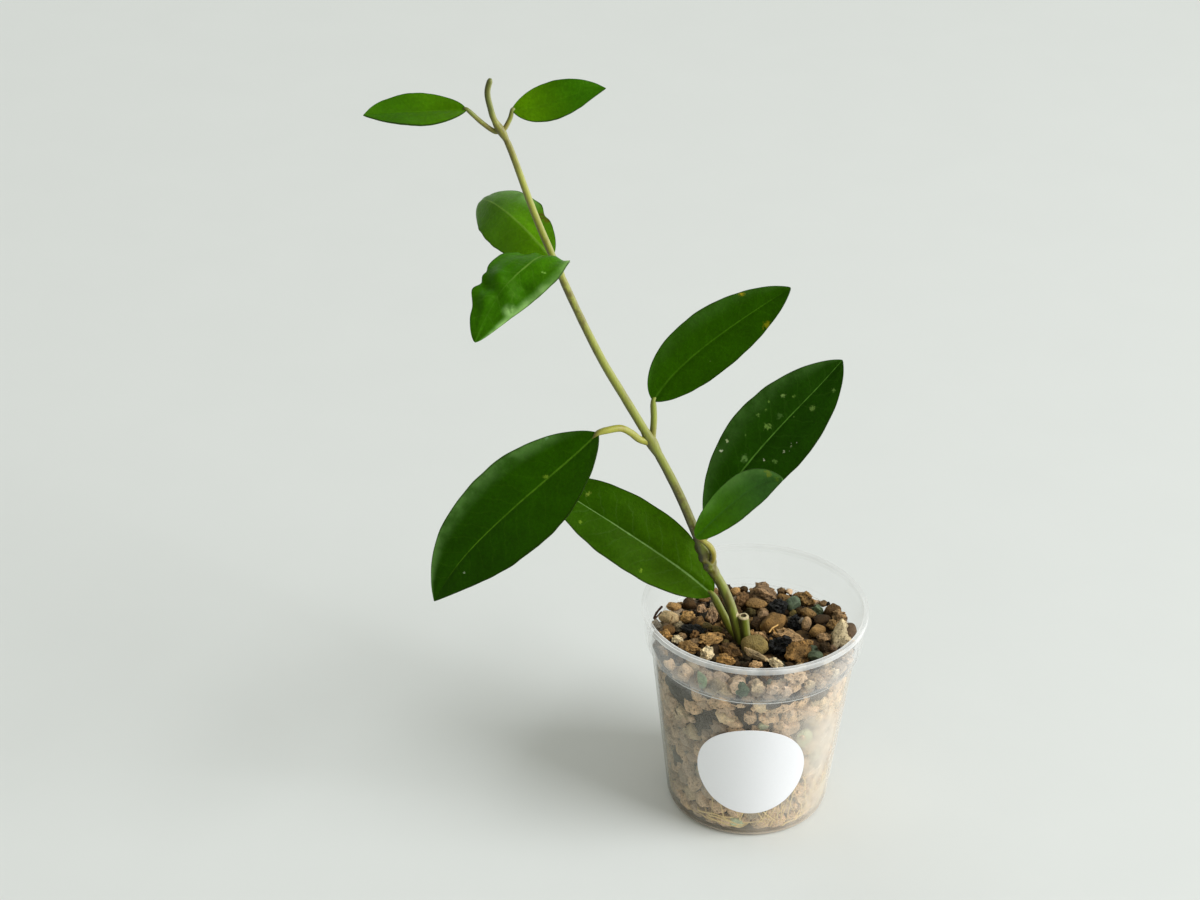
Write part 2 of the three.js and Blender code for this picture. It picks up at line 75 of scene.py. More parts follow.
def only(piece):
    deselectAll()
    piece.select_set(True)
    bpy.context.view_layer.objects.active = piece


def useModifier(piece, kind, **settings):
    only(piece)
    modifier = piece.modifiers.new(kind.lower(), kind)
    for key, value in settings.items():
        setattr(modifier, key, value)
    bpy.ops.object.modifier_apply(modifier=modifier.name)


def useClouds(piece, size, strength):  # a lumpy surface
    texture = bpy.data.textures.new("lumps", "CLOUDS")
    texture.noise_scale = size
    useModifier(piece, "DISPLACE", texture=texture, strength=strength, mid_level=0.5, texture_coords="LOCAL")


def joinPieces(pieces):
    only(pieces[0])
    for piece in pieces:
        piece.select_set(True)
    bpy.ops.object.join()
    return pieces[0]


def finishPiece(piece, name, node, material=None, sharp=40):
    only(piece)
    bpy.ops.object.transform_apply(location=True, rotation=True, scale=True)
    bpy.ops.object.shade_smooth_by_angle(angle=math.radians(sharp))
    piece.name = piece.data.name = name
    if material is not None:
        piece.data.materials.clear()
        piece.data.materials.append(material)
    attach(piece, "root")
    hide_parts(node)


def onCircle(angle, radius, z=0):
    return (math.cos(angle) * radius, math.sin(angle) * radius, z)


def curvePoints(points, steps, between=16):  # an even, smooth run through the points
    ends = [2 * points[0] - points[1], *points, 2 * points[-1] - points[-2]]
    dense = []
    for i in range(len(points) - 1):
        a, b, c, d = ends[i:i + 4]
        for k in range(between):
            t = k / between
            dense.append(0.5 * (2 * b + (c - a) * t + (2 * a - 5 * b + 4 * c - d) * t**2
                                + (3 * b - a - 3 * c + d) * t**3))
    dense.append(points[-1])
    run = [0.0]
    for a, b in zip(dense, dense[1:]):
        run.append(run[-1] + (b - a).length)
    even = []
    k = 0
    for i in range(steps + 1):
        wanted = run[-1] * i / steps
        while k < len(run) - 2 and run[k + 1] < wanted:
            k += 1
        share = (wanted - run[k]) / max(run[k + 1] - run[k], 1e-12)
        even.append(dense[k].lerp(dense[k + 1], min(max(share, 0), 1)))
    return even


def tubeAlong(points, radii, roundness=5):  # a bevelled curve, turned into a mesh
    data = bpy.data.curves.new("tube", "CURVE")
    data.dimensions = "3D"
    data.bevel_depth = mm
    data.bevel_resolution = roundness
    data.use_fill_caps = True
    line = data.splines.new("POLY")
    line.points.add(len(points) - 1)
    for point, place, radius in zip(line.points, points, radii):
        point.co = (*place, 1)
        point.radius = radius
    tube = bpy.data.objects.new("tube", data)
    bpy.context.collection.objects.link(tube)
    only(tube)
    bpy.ops.object.convert(target="MESH")
    return bpy.context.object


def turnedShape(profile, segments):  # every ring is extruded from the last and scaled
    radius, height = profile[0]
    deselectAll()
    bpy.ops.mesh.primitive_circle_add(vertices=segments, radius=radius * mm, fill_type="NGON")
    piece = bpy.context.object
    bpy.ops.transform.translate(value=(0, 0, height * mm))
    bpy.ops.object.transform_apply(location=True)
    bpy.ops.object.mode_set(mode="EDIT")
    bpy.ops.mesh.select_all(action="SELECT")
    for nextRadius, nextHeight in profile[1:]:
        rise = (0, 0, (nextHeight - height) * mm)
        bpy.ops.mesh.extrude_region_move(TRANSFORM_OT_translate={"value": rise})
        grow = nextRadius / radius
        bpy.ops.transform.resize(value=(grow, grow, 1), center_override=(0, 0, nextHeight * mm))
        radius, height = nextRadius, nextHeight
    faceOutwards()
    return piece


def faceOutwards():  # leaves edit mode
    bpy.ops.mesh.select_all(action="SELECT")
    bpy.ops.mesh.normals_make_consistent(inside=False)
    bpy.ops.object.mode_set(mode="OBJECT")


# small tools for materials

def colour(code):  # a screen colour such as "8a9440" as the numbers that a socket takes
    parts = [int(code[i:i + 2], 16) / 255 for i in (0, 2, 4)]
    return (*[p / 12.92 if p <= 0.04045 else ((p + 0.055) / 1.055) ** 2.4 for p in parts], 1)


def addNode(tree, kind, **settings):
    node = tree.nodes.new("ShaderNode" + kind)
    for key, value in settings.items():
        setattr(node, key, value)
    return node


def plug(tree, source, target):  # links a socket, or sets a plain value
    if isinstance(source, bpy.types.NodeSocket):
        tree.links.new(source, target)
    else:
        target.default_value = source


def doMath(tree, operation, first, second=0.0):
    node = addNode(tree, "Math", operation=operation)
    plug(tree, first, node.inputs[0])
    plug(tree, second, node.inputs[1])
    return node.outputs[0]


def plus(tree, first, second):
    return doMath(tree, "ADD", first, second)


def times(tree, first, second):
    return doMath(tree, "MULTIPLY", first, second)


def larger(tree, first, second):  # of two masks; the first may be missing
    return second if first is None else doMath(tree, "MAXIMUM", first, second)


def offFrom(tree, value, middle):  # how far the value is from the middle, either way
    return doMath(tree, "ABSOLUTE", doMath(tree, "SUBTRACT", value, middle))


def fade(tree, value, start, end, low=0.0, high=1.0):  # low before start, high after end
    node = addNode(tree, "MapRange", interpolation_type="SMOOTHSTEP")
    for socket, given in zip(node.inputs, (value, start, end, low, high)):
        plug(tree, given, socket)
    return node.outputs[0]


def fadeOver(tree, value, ends, low=0.0, high=1.0):  # the same, with its ends in millimetres
    return fade(tree, value, ends[0] * mm, ends[1] * mm, low, high)


def blend(tree, factor, first, second, way="MIX"):
    node = addNode(tree, "Mix", data_type="RGBA", blend_type=way)
    plug(tree, factor, node.inputs[0])
    plug(tree, first, node.inputs[6])
    plug(tree, second, node.inputs[7])
    return node.outputs[2]


def cloud(tree, place, size, detail=3.0):  # noise with spots about size mm wide
    node = addNode(tree, "TexNoise")
    plug(tree, place, node.inputs["Vector"])
    node.inputs["Scale"].default_value = 1 / (size * mm)
    node.inputs["Detail"].default_value = detail
    node.inputs["Roughness"].default_value = 0.55
    return node.outputs["Fac"]


def objectPlace(tree, turn=(0, 0, 0), scale=(1, 1, 1)):
    where = addNode(tree, "TexCoord")
    mapping = addNode(tree, "Mapping")
    mapping.inputs["Rotation"].default_value = [math.radians(a) for a in turn]
    mapping.inputs["Scale"].default_value = scale
    tree.links.new(where.outputs["Object"], mapping.inputs["Vector"])
    return mapping.outputs["Vector"]


def splitPlace(tree, vector):
    node = addNode(tree, "SeparateXYZ")
    plug(tree, vector, node.inputs[0])
    return node.outputs[:]


def distanceFrom(tree, place, point):
    node = addNode(tree, "VectorMath", operation="DISTANCE")
    plug(tree, place, node.inputs[0])
    plug(tree, point, node.inputs[1])
    return node.outputs["Value"]


def newMaterial(name):
    material = bpy.data.materials.new(name)
    material.use_nodes = True
    return material, material.node_tree, material.node_tree.nodes["Principled BSDF"]


def setSkin(tree, shader, tint, rough, height=None, depth=0.0):  # depth is that of the bumps, in mm
    plug(tree, tint, shader.inputs["Base Color"])
    plug(tree, rough, shader.inputs["Roughness"])
    if height is not None:
        bump = addNode(tree, "Bump")
        bump.inputs["Distance"].default_value = depth * mm
        plug(tree, height, bump.inputs["Height"])
        tree.links.new(bump.outputs["Normal"], shader.inputs["Normal"])


def newGroup(name, inputs, outputs):
    group = bpy.data.node_groups.new(name, "ShaderNodeTree")
    for way, sockets in (("INPUT", inputs), ("OUTPUT", outputs)):
        for socket, kind in sockets.items():
            group.interface.new_socket(socket, in_out=way, socket_type="NodeSocket" + kind)
    return group, group.nodes.new("NodeGroupInput").outputs, group.nodes.new("NodeGroupOutput").inputs


def useGroup(tree, group, **values):
    node = addNode(tree, "Group", node_tree=group)
    for key, value in values.items():
        plug(tree, value, node.inputs[key])
    return node.outputs


def makeMottle():  # uneven colour and a soft height, for skins, stone and paper alike
    group, given, result = newGroup(
        "mottle", {"Colour": "Color", "Place": "Vector", "Scale": "Float", "Amount": "Float"},
        {"Colour": "Color", "Height": "Float"})
    broad = addNode(group, "TexNoise")
    broad.inputs["Detail"].default_value = 5
    plug(group, given["Place"], broad.inputs["Vector"])
    plug(group, given["Scale"], broad.inputs["Scale"])
    swing = times(group, doMath(group, "SUBTRACT", broad.outputs["Fac"], 0.5), given["Amount"])
    shade = addNode(group, "VectorMath", operation="SCALE")
    plug(group, given["Colour"], shade.inputs[0])
    plug(group, plus(group, swing, 1.0), shade.inputs["Scale"])
    plug(group, shade.outputs[0], result["Colour"])
    plug(group, broad.outputs["Fac"], result["Height"])
    return group


def makePores():  # round dark pits of two sizes, as in pumice
    group, given, result = newGroup("pores", {"Place": "Vector", "Scale": "Float"}, {"Pits": "Float"})
    pits = None
    for size, width in ((1.0, 0.34), (2.3, 0.3)):
        cells = addNode(group, "TexVoronoi")
        plug(group, given["Place"], cells.inputs["Vector"])
        plug(group, times(group, given["Scale"], size), cells.inputs["Scale"])
        pit = fade(group, cells.outputs["Distance"], width * 0.45, width, 1.0, 0.0)
        some = fade(group, cells.outputs["Color"], 0.35, 0.5)
        pits = larger(group, pits, times(group, pit, some))
    plug(group, pits, result["Pits"])
    return group


mottle = makeMottle()
pores = makePores()


def mottled(tree, tint, place, scale, amount):
    result = useGroup(tree, mottle, Colour=tint, Place=place, Scale=scale, Amount=amount)
    return result["Colour"], result["Height"]


def plainSkin(name, code, scale, amount, rough, depth=None):
    material, tree, shader = newMaterial(name)
    tint, height = mottled(tree, colour(code), objectPlace(tree), scale, amount)
    setSkin(tree, shader, tint, rough, None if depth is None else height, depth)
    return material


# pot: thin milky clear plastic with a flat lip, a bowl-shaped band, a stacking step and a rounded foot

pot = {
    "segments": 160,
    "outside": [(27.2, 0), (28.35, 0.9), (29.1, 3.2), (36.2, 63.6), (37.1, 64.6), (38.2, 66.8), (38.8, 70),
                (39.2, 78.3), (40, 78.7), (40, 80.5)],
    "inside": [(38.3, 80.5), (38.3, 79.5), (38, 70.3), (37.4, 67.2), (36.3, 65.1), (35.4, 64), (28.4, 3.8),
               (27.7, 2), (26.4, 1)],
    "edge": 0.3,  # rounding of the corners
    "holes": 8, "holeWidth": 3.2, "holeCircle": 17,
    "haze": [(0, 0.1), (1.5, 0.18), (6, 0.13), (40, 0.13), (56, 0.08), (67, 0.07), (77.6, 0.04), (78.4, 0.12),
             (80.5, 0.2)],  # how milky the wall is at each height
    "band": (60, 66), "lip": (78, 78.6), "foot": (0.4, 2.6),  # where each begins, over which heights
    "litSideHaze": (0.75, 2.2), "sideFrom": (2, 38), "sideRise": (10, 26),  # milkier to the right as a painted glow where the light falls, and higher up
    "edgeHaze": 0.42, "most": 0.96,  # milkier where the wall is seen edge on, but never quite solid
    "lipHighlightLines": [(38.45, 0.28, 0.55), (39.85, 0.3, 0.6)],  # bright edges of the lip, a painted highlight: radius, reach, strength
    "stepHighlightLines": [(64.7, 0.32, 0.9, 36.7), (66.7, 0.3, 0.16, 37.7)],  # painted highlights on the step's edges: height, reach, strength, least radius
    "farSide": 0.22, "farFrom": (-22, 12),  # how much of the lip and its band shows at the back
    "leftSide": 0.35, "leftFrom": (-41, -33),
    "shaded": "9b9b90", "tint": "f7efe2", "lipTint": "f5f6f5", "footTint": "c79f6c", "litFrom": (-34, 8),
}


def radiusAt(profile, height):
    for (r0, z0), (r1, z1) in zip(profile, profile[1:]):
        if min(z0, z1) <= height <= max(z0, z1) and z0 != z1:
            return r0 + (r1 - r0) * (height - z0) / (z1 - z0)
    return profile[-1][0]


def potHaze(tree, x, z, inBody):
    tallest = pot["haze"][-1][0]
    ramp = addNode(tree, "ValToRGB")
    stops = ramp.color_ramp.elements
    while len(stops) < len(pot["haze"]):
        stops.new(0.5)
    for stop, (level, amount) in zip(stops, pot["haze"]):
        stop.position = level / tallest
        stop.color = (amount, amount, amount, 1)
    plug(tree, doMath(tree, "DIVIDE", z, tallest * mm), ramp.inputs[0])
    streaks = cloud(tree, objectPlace(tree, scale=(1, 1, 0.6)), 13)
    haze = times(tree, ramp.outputs[0], fade(tree, streaks, 0.35, 0.65, 0.4, 1.7))
    # painted glow: more haze towards the right, where the light falls
    side = fadeOver(tree, x, pot["sideFrom"], *pot["litSideHaze"])
    side = times(tree, side, fadeOver(tree, z, pot["sideRise"], 0.65, 1.0))
    return times(tree, haze, blend(tree, inBody, (1, 1, 1, 1), side))


def clearPlastic():
    material, tree, shader = newMaterial("clearPlastic")
    place = objectPlace(tree)
    x, y, z = splitPlace(tree, place)
    inBody = fadeOver(tree, z, pot["band"], 1.0, 0.0)
    haze = potHaze(tree, x, z, inBody)
    flat = addNode(tree, "VectorMath", operation="LENGTH")
    plug(tree, objectPlace(tree, scale=(1, 1, 0)), flat.inputs[0])
    radius = flat.outputs["Value"]
    onLip = fadeOver(tree, z, pot["lip"])
    # painted highlight: the lip's inner and outer edges are made more opaque and white
    for middle, reach, strength in pot["lipHighlightLines"]:
        line = fade(tree, offFrom(tree, radius, middle * mm), 0, reach * mm, strength, 0.0)
        haze = plus(tree, haze, times(tree, line, onLip))
    # painted highlight: the step's edges are made more opaque and whiter
    stepHighlightLine = None
    for level, reach, strength, least in pot["stepHighlightLines"]:
        line = fadeOver(tree, offFrom(tree, z, level * mm), (reach * 0.3, reach), strength, 0.0)
        line = times(tree, line, doMath(tree, "GREATER_THAN", radius, least * mm))
        stepHighlightLine = larger(tree, stepHighlightLine, line)
    foot = fadeOver(tree, z, pot["foot"], 0.4, 0.0)
    haze = plus(tree, haze, plus(tree, stepHighlightLine, foot))
    graze = addNode(tree, "LayerWeight")
    graze.inputs["Blend"].default_value = 0.5
    edgeOn = doMath(tree, "POWER", graze.outputs["Facing"], 2.0)
    farSide = times(tree, fadeOver(tree, y, pot["farFrom"], 1.0, pot["farSide"]),
                    fadeOver(tree, x, pot["leftFrom"], pot["leftSide"], 1.0))
    seen = blend(tree, inBody, farSide, (1, 1, 1, 1))
    milky = times(tree, plus(tree, haze, times(tree, edgeOn, pot["edgeHaze"])), seen)
    plug(tree, doMath(tree, "MINIMUM", milky, pot["most"]), shader.inputs["Alpha"])
    # painted shade: the wall is greyer on its left, away from the light, and paler on its right
    tint = blend(tree, fadeOver(tree, x, pot["litFrom"]), colour(pot["shaded"]), colour(pot["tint"]))
    tint = blend(tree, inBody, colour(pot["lipTint"]), tint)
    tint = blend(tree, foot, tint, colour(pot["footTint"]))
    tint = blend(tree, stepHighlightLine, tint, colour(pot["lipTint"]))
    worn = mottled(tree, tint, place, 180.0, 0.08)[0]
    rough = fade(tree, cloud(tree, place, 6), 0.35, 0.65, 0.16, 0.28)
    setSkin(tree, shader, worn, rough, cloud(tree, place, 9, 2), 0.12)
    shader.inputs["IOR"].default_value = 1.49
    return material


def makePot():
    piece = turnedShape(pot["outside"] + pot["inside"], pot["segments"])
    for i in range(pot["holes"]):
        spot = [part * mm for part in onCircle(fullTurn * i / pot["holes"], pot["holeCircle"])]
        deselectAll()
        bpy.ops.mesh.primitive_cylinder_add(vertices=24, radius=pot["holeWidth"] / 2 * mm, depth=4 * mm,
                                            location=spot)
        drill = bpy.context.object
        useModifier(piece, "BOOLEAN", object=drill, operation="DIFFERENCE", solver="EXACT")
        bpy.data.objects.remove(drill)
    useModifier(piece, "BEVEL", width=pot["edge"] * mm, segments=3, limit_method="ANGLE",
                angle_limit=math.radians(24))
    finishPiece(piece, "pot_shell", "pot", clearPlastic(), sharp=60)


makePot()
print("pot made")


# label: a blank round sticker that follows the wall

label = {"width": 39.7, "thickness": 0.22, "gap": 0.25, "height": 31.9, "turn": -1.25,
         "rings": 14, "points": 96, "tint": "f8f9fd"}


def labelPaper():
    material, tree, shader = newMaterial("labelPaper")
    place = objectPlace(tree)
    fibres, height = mottled(tree, colour(label["tint"]), objectPlace(tree, scale=(1, 1, 3)), 900.0, 0.05)
    broad = mottled(tree, fibres, place, 90.0, 0.03)[0]
    setSkin(tree, shader, broad, fade(tree, cloud(tree, place, 3), 0.3, 0.7, 0.42, 0.56), height, 0.03)
    return material


def makeLabel():
    deselectAll()
    bpy.ops.mesh.primitive_circle_add(vertices=label["points"], radius=label["width"] / 2 * mm,
                                      fill_type="NOTHING")
    piece = bpy.context.object
    bpy.ops.object.mode_set(mode="EDIT")
    bpy.ops.mesh.select_all(action="SELECT")
    for ring in range(label["rings"] - 1, 0, -1):
        bpy.ops.mesh.extrude_edges_move()
        shrink = ring / (ring + 1)
        bpy.ops.transform.resize(value=(shrink, shrink, 1), center_override=(0, 0, 0))
    bpy.ops.mesh.extrude_edges_move()
    bpy.ops.mesh.merge(type="CENTER")
    faceOutwards()
    for vertex in piece.data.vertices:  # wrap the flat disc round the wall
        across, up = vertex.co.x / mm, vertex.co.y / mm
        radius = radiusAt(pot["outside"], label["height"] + up) + label["gap"]
        angle = math.radians(label["turn"] - 90) + across / radius
        vertex.co = Vector(onCircle(angle, radius, label["height"] + up)) * mm
    outwards = sum(p.normal.dot(Vector((p.center.x, p.center.y, 0))) for p in piece.data.polygons)
    if outwards < 0:
        piece.data.flip_normals()
    useModifier(piece, "SOLIDIFY", thickness=label["thickness"] * mm, offset=1, use_even_offset=True)
    finishPiece(piece, "label_sticker", "label", labelPaper(), sharp=50)


makeLabel()
print("label made")


# vine: the climbing stem with its swollen joints, and the cut-off stump

vine = {
    "route": [(-1, 0, 38), (-2, 0, 52), (-4.8, 0, 65.5), (-8, 0, 78), (-11.5, 0, 87.5), (-16.5, -0.5, 97.5),
              (-22, -1, 111.5), (-28.5, -1.5, 128), (-36.5, -2, 145), (-47.5, -1.5, 165), (-55.5, -1, 179.5),
              (-64.5, 0.5, 198.5), (-73.5, 1.5, 220), (-79, 2.5, 234), (-86.5, 4.5, 255), (-91, 5.5, 263),
              (-92.5, 6, 267.5), (-93.5, 7, 272.5), (-92.5, 8, 277)],
    "baseRadius": 2, "topRadius": 1, "steps": 260, "grain": 0.26,
    "joints": [((-17.2, -0.8, 99.5), 0.9, 5), ((-38, -2, 148), 0.6, 3.5), ((-71, 1, 212.5), 0.3, 3),
               ((-89.5, 5, 260), 0.45, 2.5)],  # place, swelling, reach
    "knobs": 1.1, "knobReach": 4.5,  # the oldest joint is knobbly
    "stumpFoot": (-1.5, -0.6, 58), "stumpTop": (-4, -1.6, 77), "stumpRadius": 1.75, "stumpLength": 19.3,
    "pithRadius": 0.9, "pithDepth": 1.8, "pith": "4a3a1e", "cut": "c9ba92",
    "young": "9ba03c", "old": "76822a", "flush": "59451c", "scar": "b9a878", "shoot": "667026",
    "shade": "2e2c0a", "lit": "d2d0a0",
    "greening": (70, 250), "shootFrom": (262, 268), "shadeFrom": (120, 170),  # over which heights
    "flushes": [(188, 195, 205, 212), (253, 257, 262, 267), (93, 96, 102, 106),
                (104, 112, 126, 142)],  # browner bands: height in, full, fading, out
}


def stemRadius(place):
    lowest, highest = vine["route"][0][2], vine["route"][-1][2]
    share = (place.z / mm - lowest) / (highest - lowest)
    radius = vine["baseRadius"] + (vine["topRadius"] - vine["baseRadius"]) * share
    for joint, swelling, reach in vine["joints"]:
        distance = (place / mm - Vector(joint)).length
        radius += swelling * math.exp(-((distance / reach) ** 2))
        radius -= 0.12 * math.exp(-(((distance - reach * 1.5) / 0.8) ** 2))  # the ring under and over a joint
    return radius


def stemSkin(name, young, old, flush):
    material, tree, shader = newMaterial(name)
    place = objectPlace(tree)
    along = objectPlace(tree, turn=(0, 23, 0), scale=(1, 1, 0.12))  # streaks follow the leaning stem
    z = splitPlace(tree, place)[2]
    skin = blend(tree, fadeOver(tree, z, vine["greening"]), colour(old), colour(young))
    skin = blend(tree, fadeOver(tree, z, vine["shootFrom"]), skin, colour(vine["shoot"]))
    brown = fade(tree, cloud(tree, objectPlace(tree, scale=(1, 1, 0.35)), 7), 0.5, 0.72)
    for begin, full, fading, end in vine["flushes"]:
        band = times(tree, fadeOver(tree, z, (begin, full)), fadeOver(tree, z, (fading, end), 1.0, 0.0))
        band = times(tree, band, fade(tree, cloud(tree, place, 2.5), 0.3, 0.6))
        brown = larger(tree, brown, band)
    skin = blend(tree, times(tree, brown, 0.7), skin, colour(flush))
    # painted shade on the left side and a painted highlight on the right, where the light falls
    rightwards = splitPlace(tree, addNode(tree, "NewGeometry").outputs["Normal"])[0]
    left = times(tree, fade(tree, rightwards, 0.35, -0.75), fadeOver(tree, z, vine["shadeFrom"], 0.95, 0.62))
    skin = blend(tree, left, skin, colour(vine["shade"]))
    skin = blend(tree, fade(tree, rightwards, 0.35, 0.9, 0.0, 0.34), skin, colour(vine["lit"]))
    skin, height = mottled(tree, skin, along, 1500.0, 0.5)
    dots = addNode(tree, "TexVoronoi")
    plug(tree, place, dots.inputs["Vector"])
    dots.inputs["Scale"].default_value = 1 / (1.6 * mm)
    skin = blend(tree, fade(tree, dots.outputs["Distance"], 0.08, 0.16, 0.3, 0.0), skin, colour(vine["scar"]))
    setSkin(tree, shader, skin, fade(tree, height, 0.3, 0.7, 0.38, 0.55), height, 0.1)
    return material


def stumpCut():
    material, tree, shader = newMaterial("dryCut")
    place = objectPlace(tree)
    away = distanceFrom(tree, place, Vector(vine["stumpTop"]) * mm)
    rings, height = mottled(tree, colour(vine["cut"]), place, 1800.0, 0.9)
    hollow = fadeOver(tree, away, (0.85, 1.25), 1.0, 0.0)
    setSkin(tree, shader, blend(tree, hollow, rings, colour(vine["pith"])), 0.9, height, 0.25)
    return material


def stumpBody():
    foot, top = Vector(vine["stumpFoot"]) * mm, Vector(vine["stumpTop"]) * mm
    radius, pith, length = vine["stumpRadius"], vine["pithRadius"], vine["stumpLength"]
    stump = turnedShape([(radius * 0.9, 0), (radius * 0.96, 9), (radius, 15), (radius * 1.05, 18.4),
                         (radius * 1.02, 19.2), (pith, length), (pith * 0.8, length - vine["pithDepth"])], 28)
    for vertex in stump.data.vertices:  # the cut is ragged
        if vertex.co.z > 18 * mm and math.hypot(vertex.co.x, vertex.co.y) > pith * 0.95 * mm:
            vertex.co.z += 0.45 * mm * noise.noise(vertex.co * 900)
            vertex.co.xy *= 1 + 0.12 * noise.noise(vertex.co * 700)
    lean = (top - foot).normalized().to_track_quat("Z", "Y").to_matrix().to_4x4()
    stump.data.transform(Matrix.Translation(foot) @ lean)
    return stump


def makeVine():
    path = curvePoints([Vector(p) * mm for p in vine["route"]], vine["steps"])
    radii = [stemRadius(p) * (1 + 0.04 * noise.noise(p * 260)) for p in path]
    radii[-1] *= 0.55
    stem = tubeAlong(path, radii, roundness=6)
    body = joinPieces([stem, stumpBody()])
    useModifier(body, "REMESH", mode="VOXEL", voxel_size=vine["grain"] * mm, use_smooth_shade=True)
    useModifier(body, "SMOOTH", factor=0.5, iterations=2)
    oldest = Vector(vine["joints"][0][0])
    knobs = []
    for vertex in body.data.vertices:
        near = math.exp(-(((vertex.co / mm - oldest).length / vine["knobReach"]) ** 2))
        if near > 0.01:
            knobs.append((vertex, vertex.normal * vine["knobs"] * mm * near * noise.noise(vertex.co * 480)))
    for vertex, knob in knobs:
        vertex.co += knob
    skin = stemSkin("stemSkin", vine["young"], vine["old"], vine["flush"])
    finishPiece(body, "vine_stem", "vine", skin, sharp=70)
    body.data.materials.append(stumpCut())
    top = Vector(vine["stumpTop"]) * mm
    for polygon in body.data.polygons:  # the pale dry cut face
        offset = polygon.center - top
        if offset.length < 2.6 * mm and offset.z > -0.7 * mm:
            polygon.material_index = 1


makeVine()
print("vine made")


# leaves: each blade is a grid laid along its midrib, with its stalk

leafShape = {"along": 96, "across": 44, "thickness": 0.55, "channel": 0.32, "channelWidth": 1.1,
             "stalkSteps": 40, "tipWidth": 0.1}

# What a leaf is unless it says otherwise. Places on a blade are its share of the length and of the half width.
usualLeaf = {"slot": "leaf", "fold": 8, "ripples": 2, "start": (2.2, 0), "dents": [], "bulges": [], "spots": [],
             "stalkSkin": "green", "footSink": 0}
usualLook = {"sheen": 0.0, "sheenSide": 1, "sheenReach": 0.7, "sheenFrom": 0, "shine": "84b662", "ribEnd": 1.0,
             "lobe": 0, "lobeTint": "1f4204", "rim": "1c2c08"}

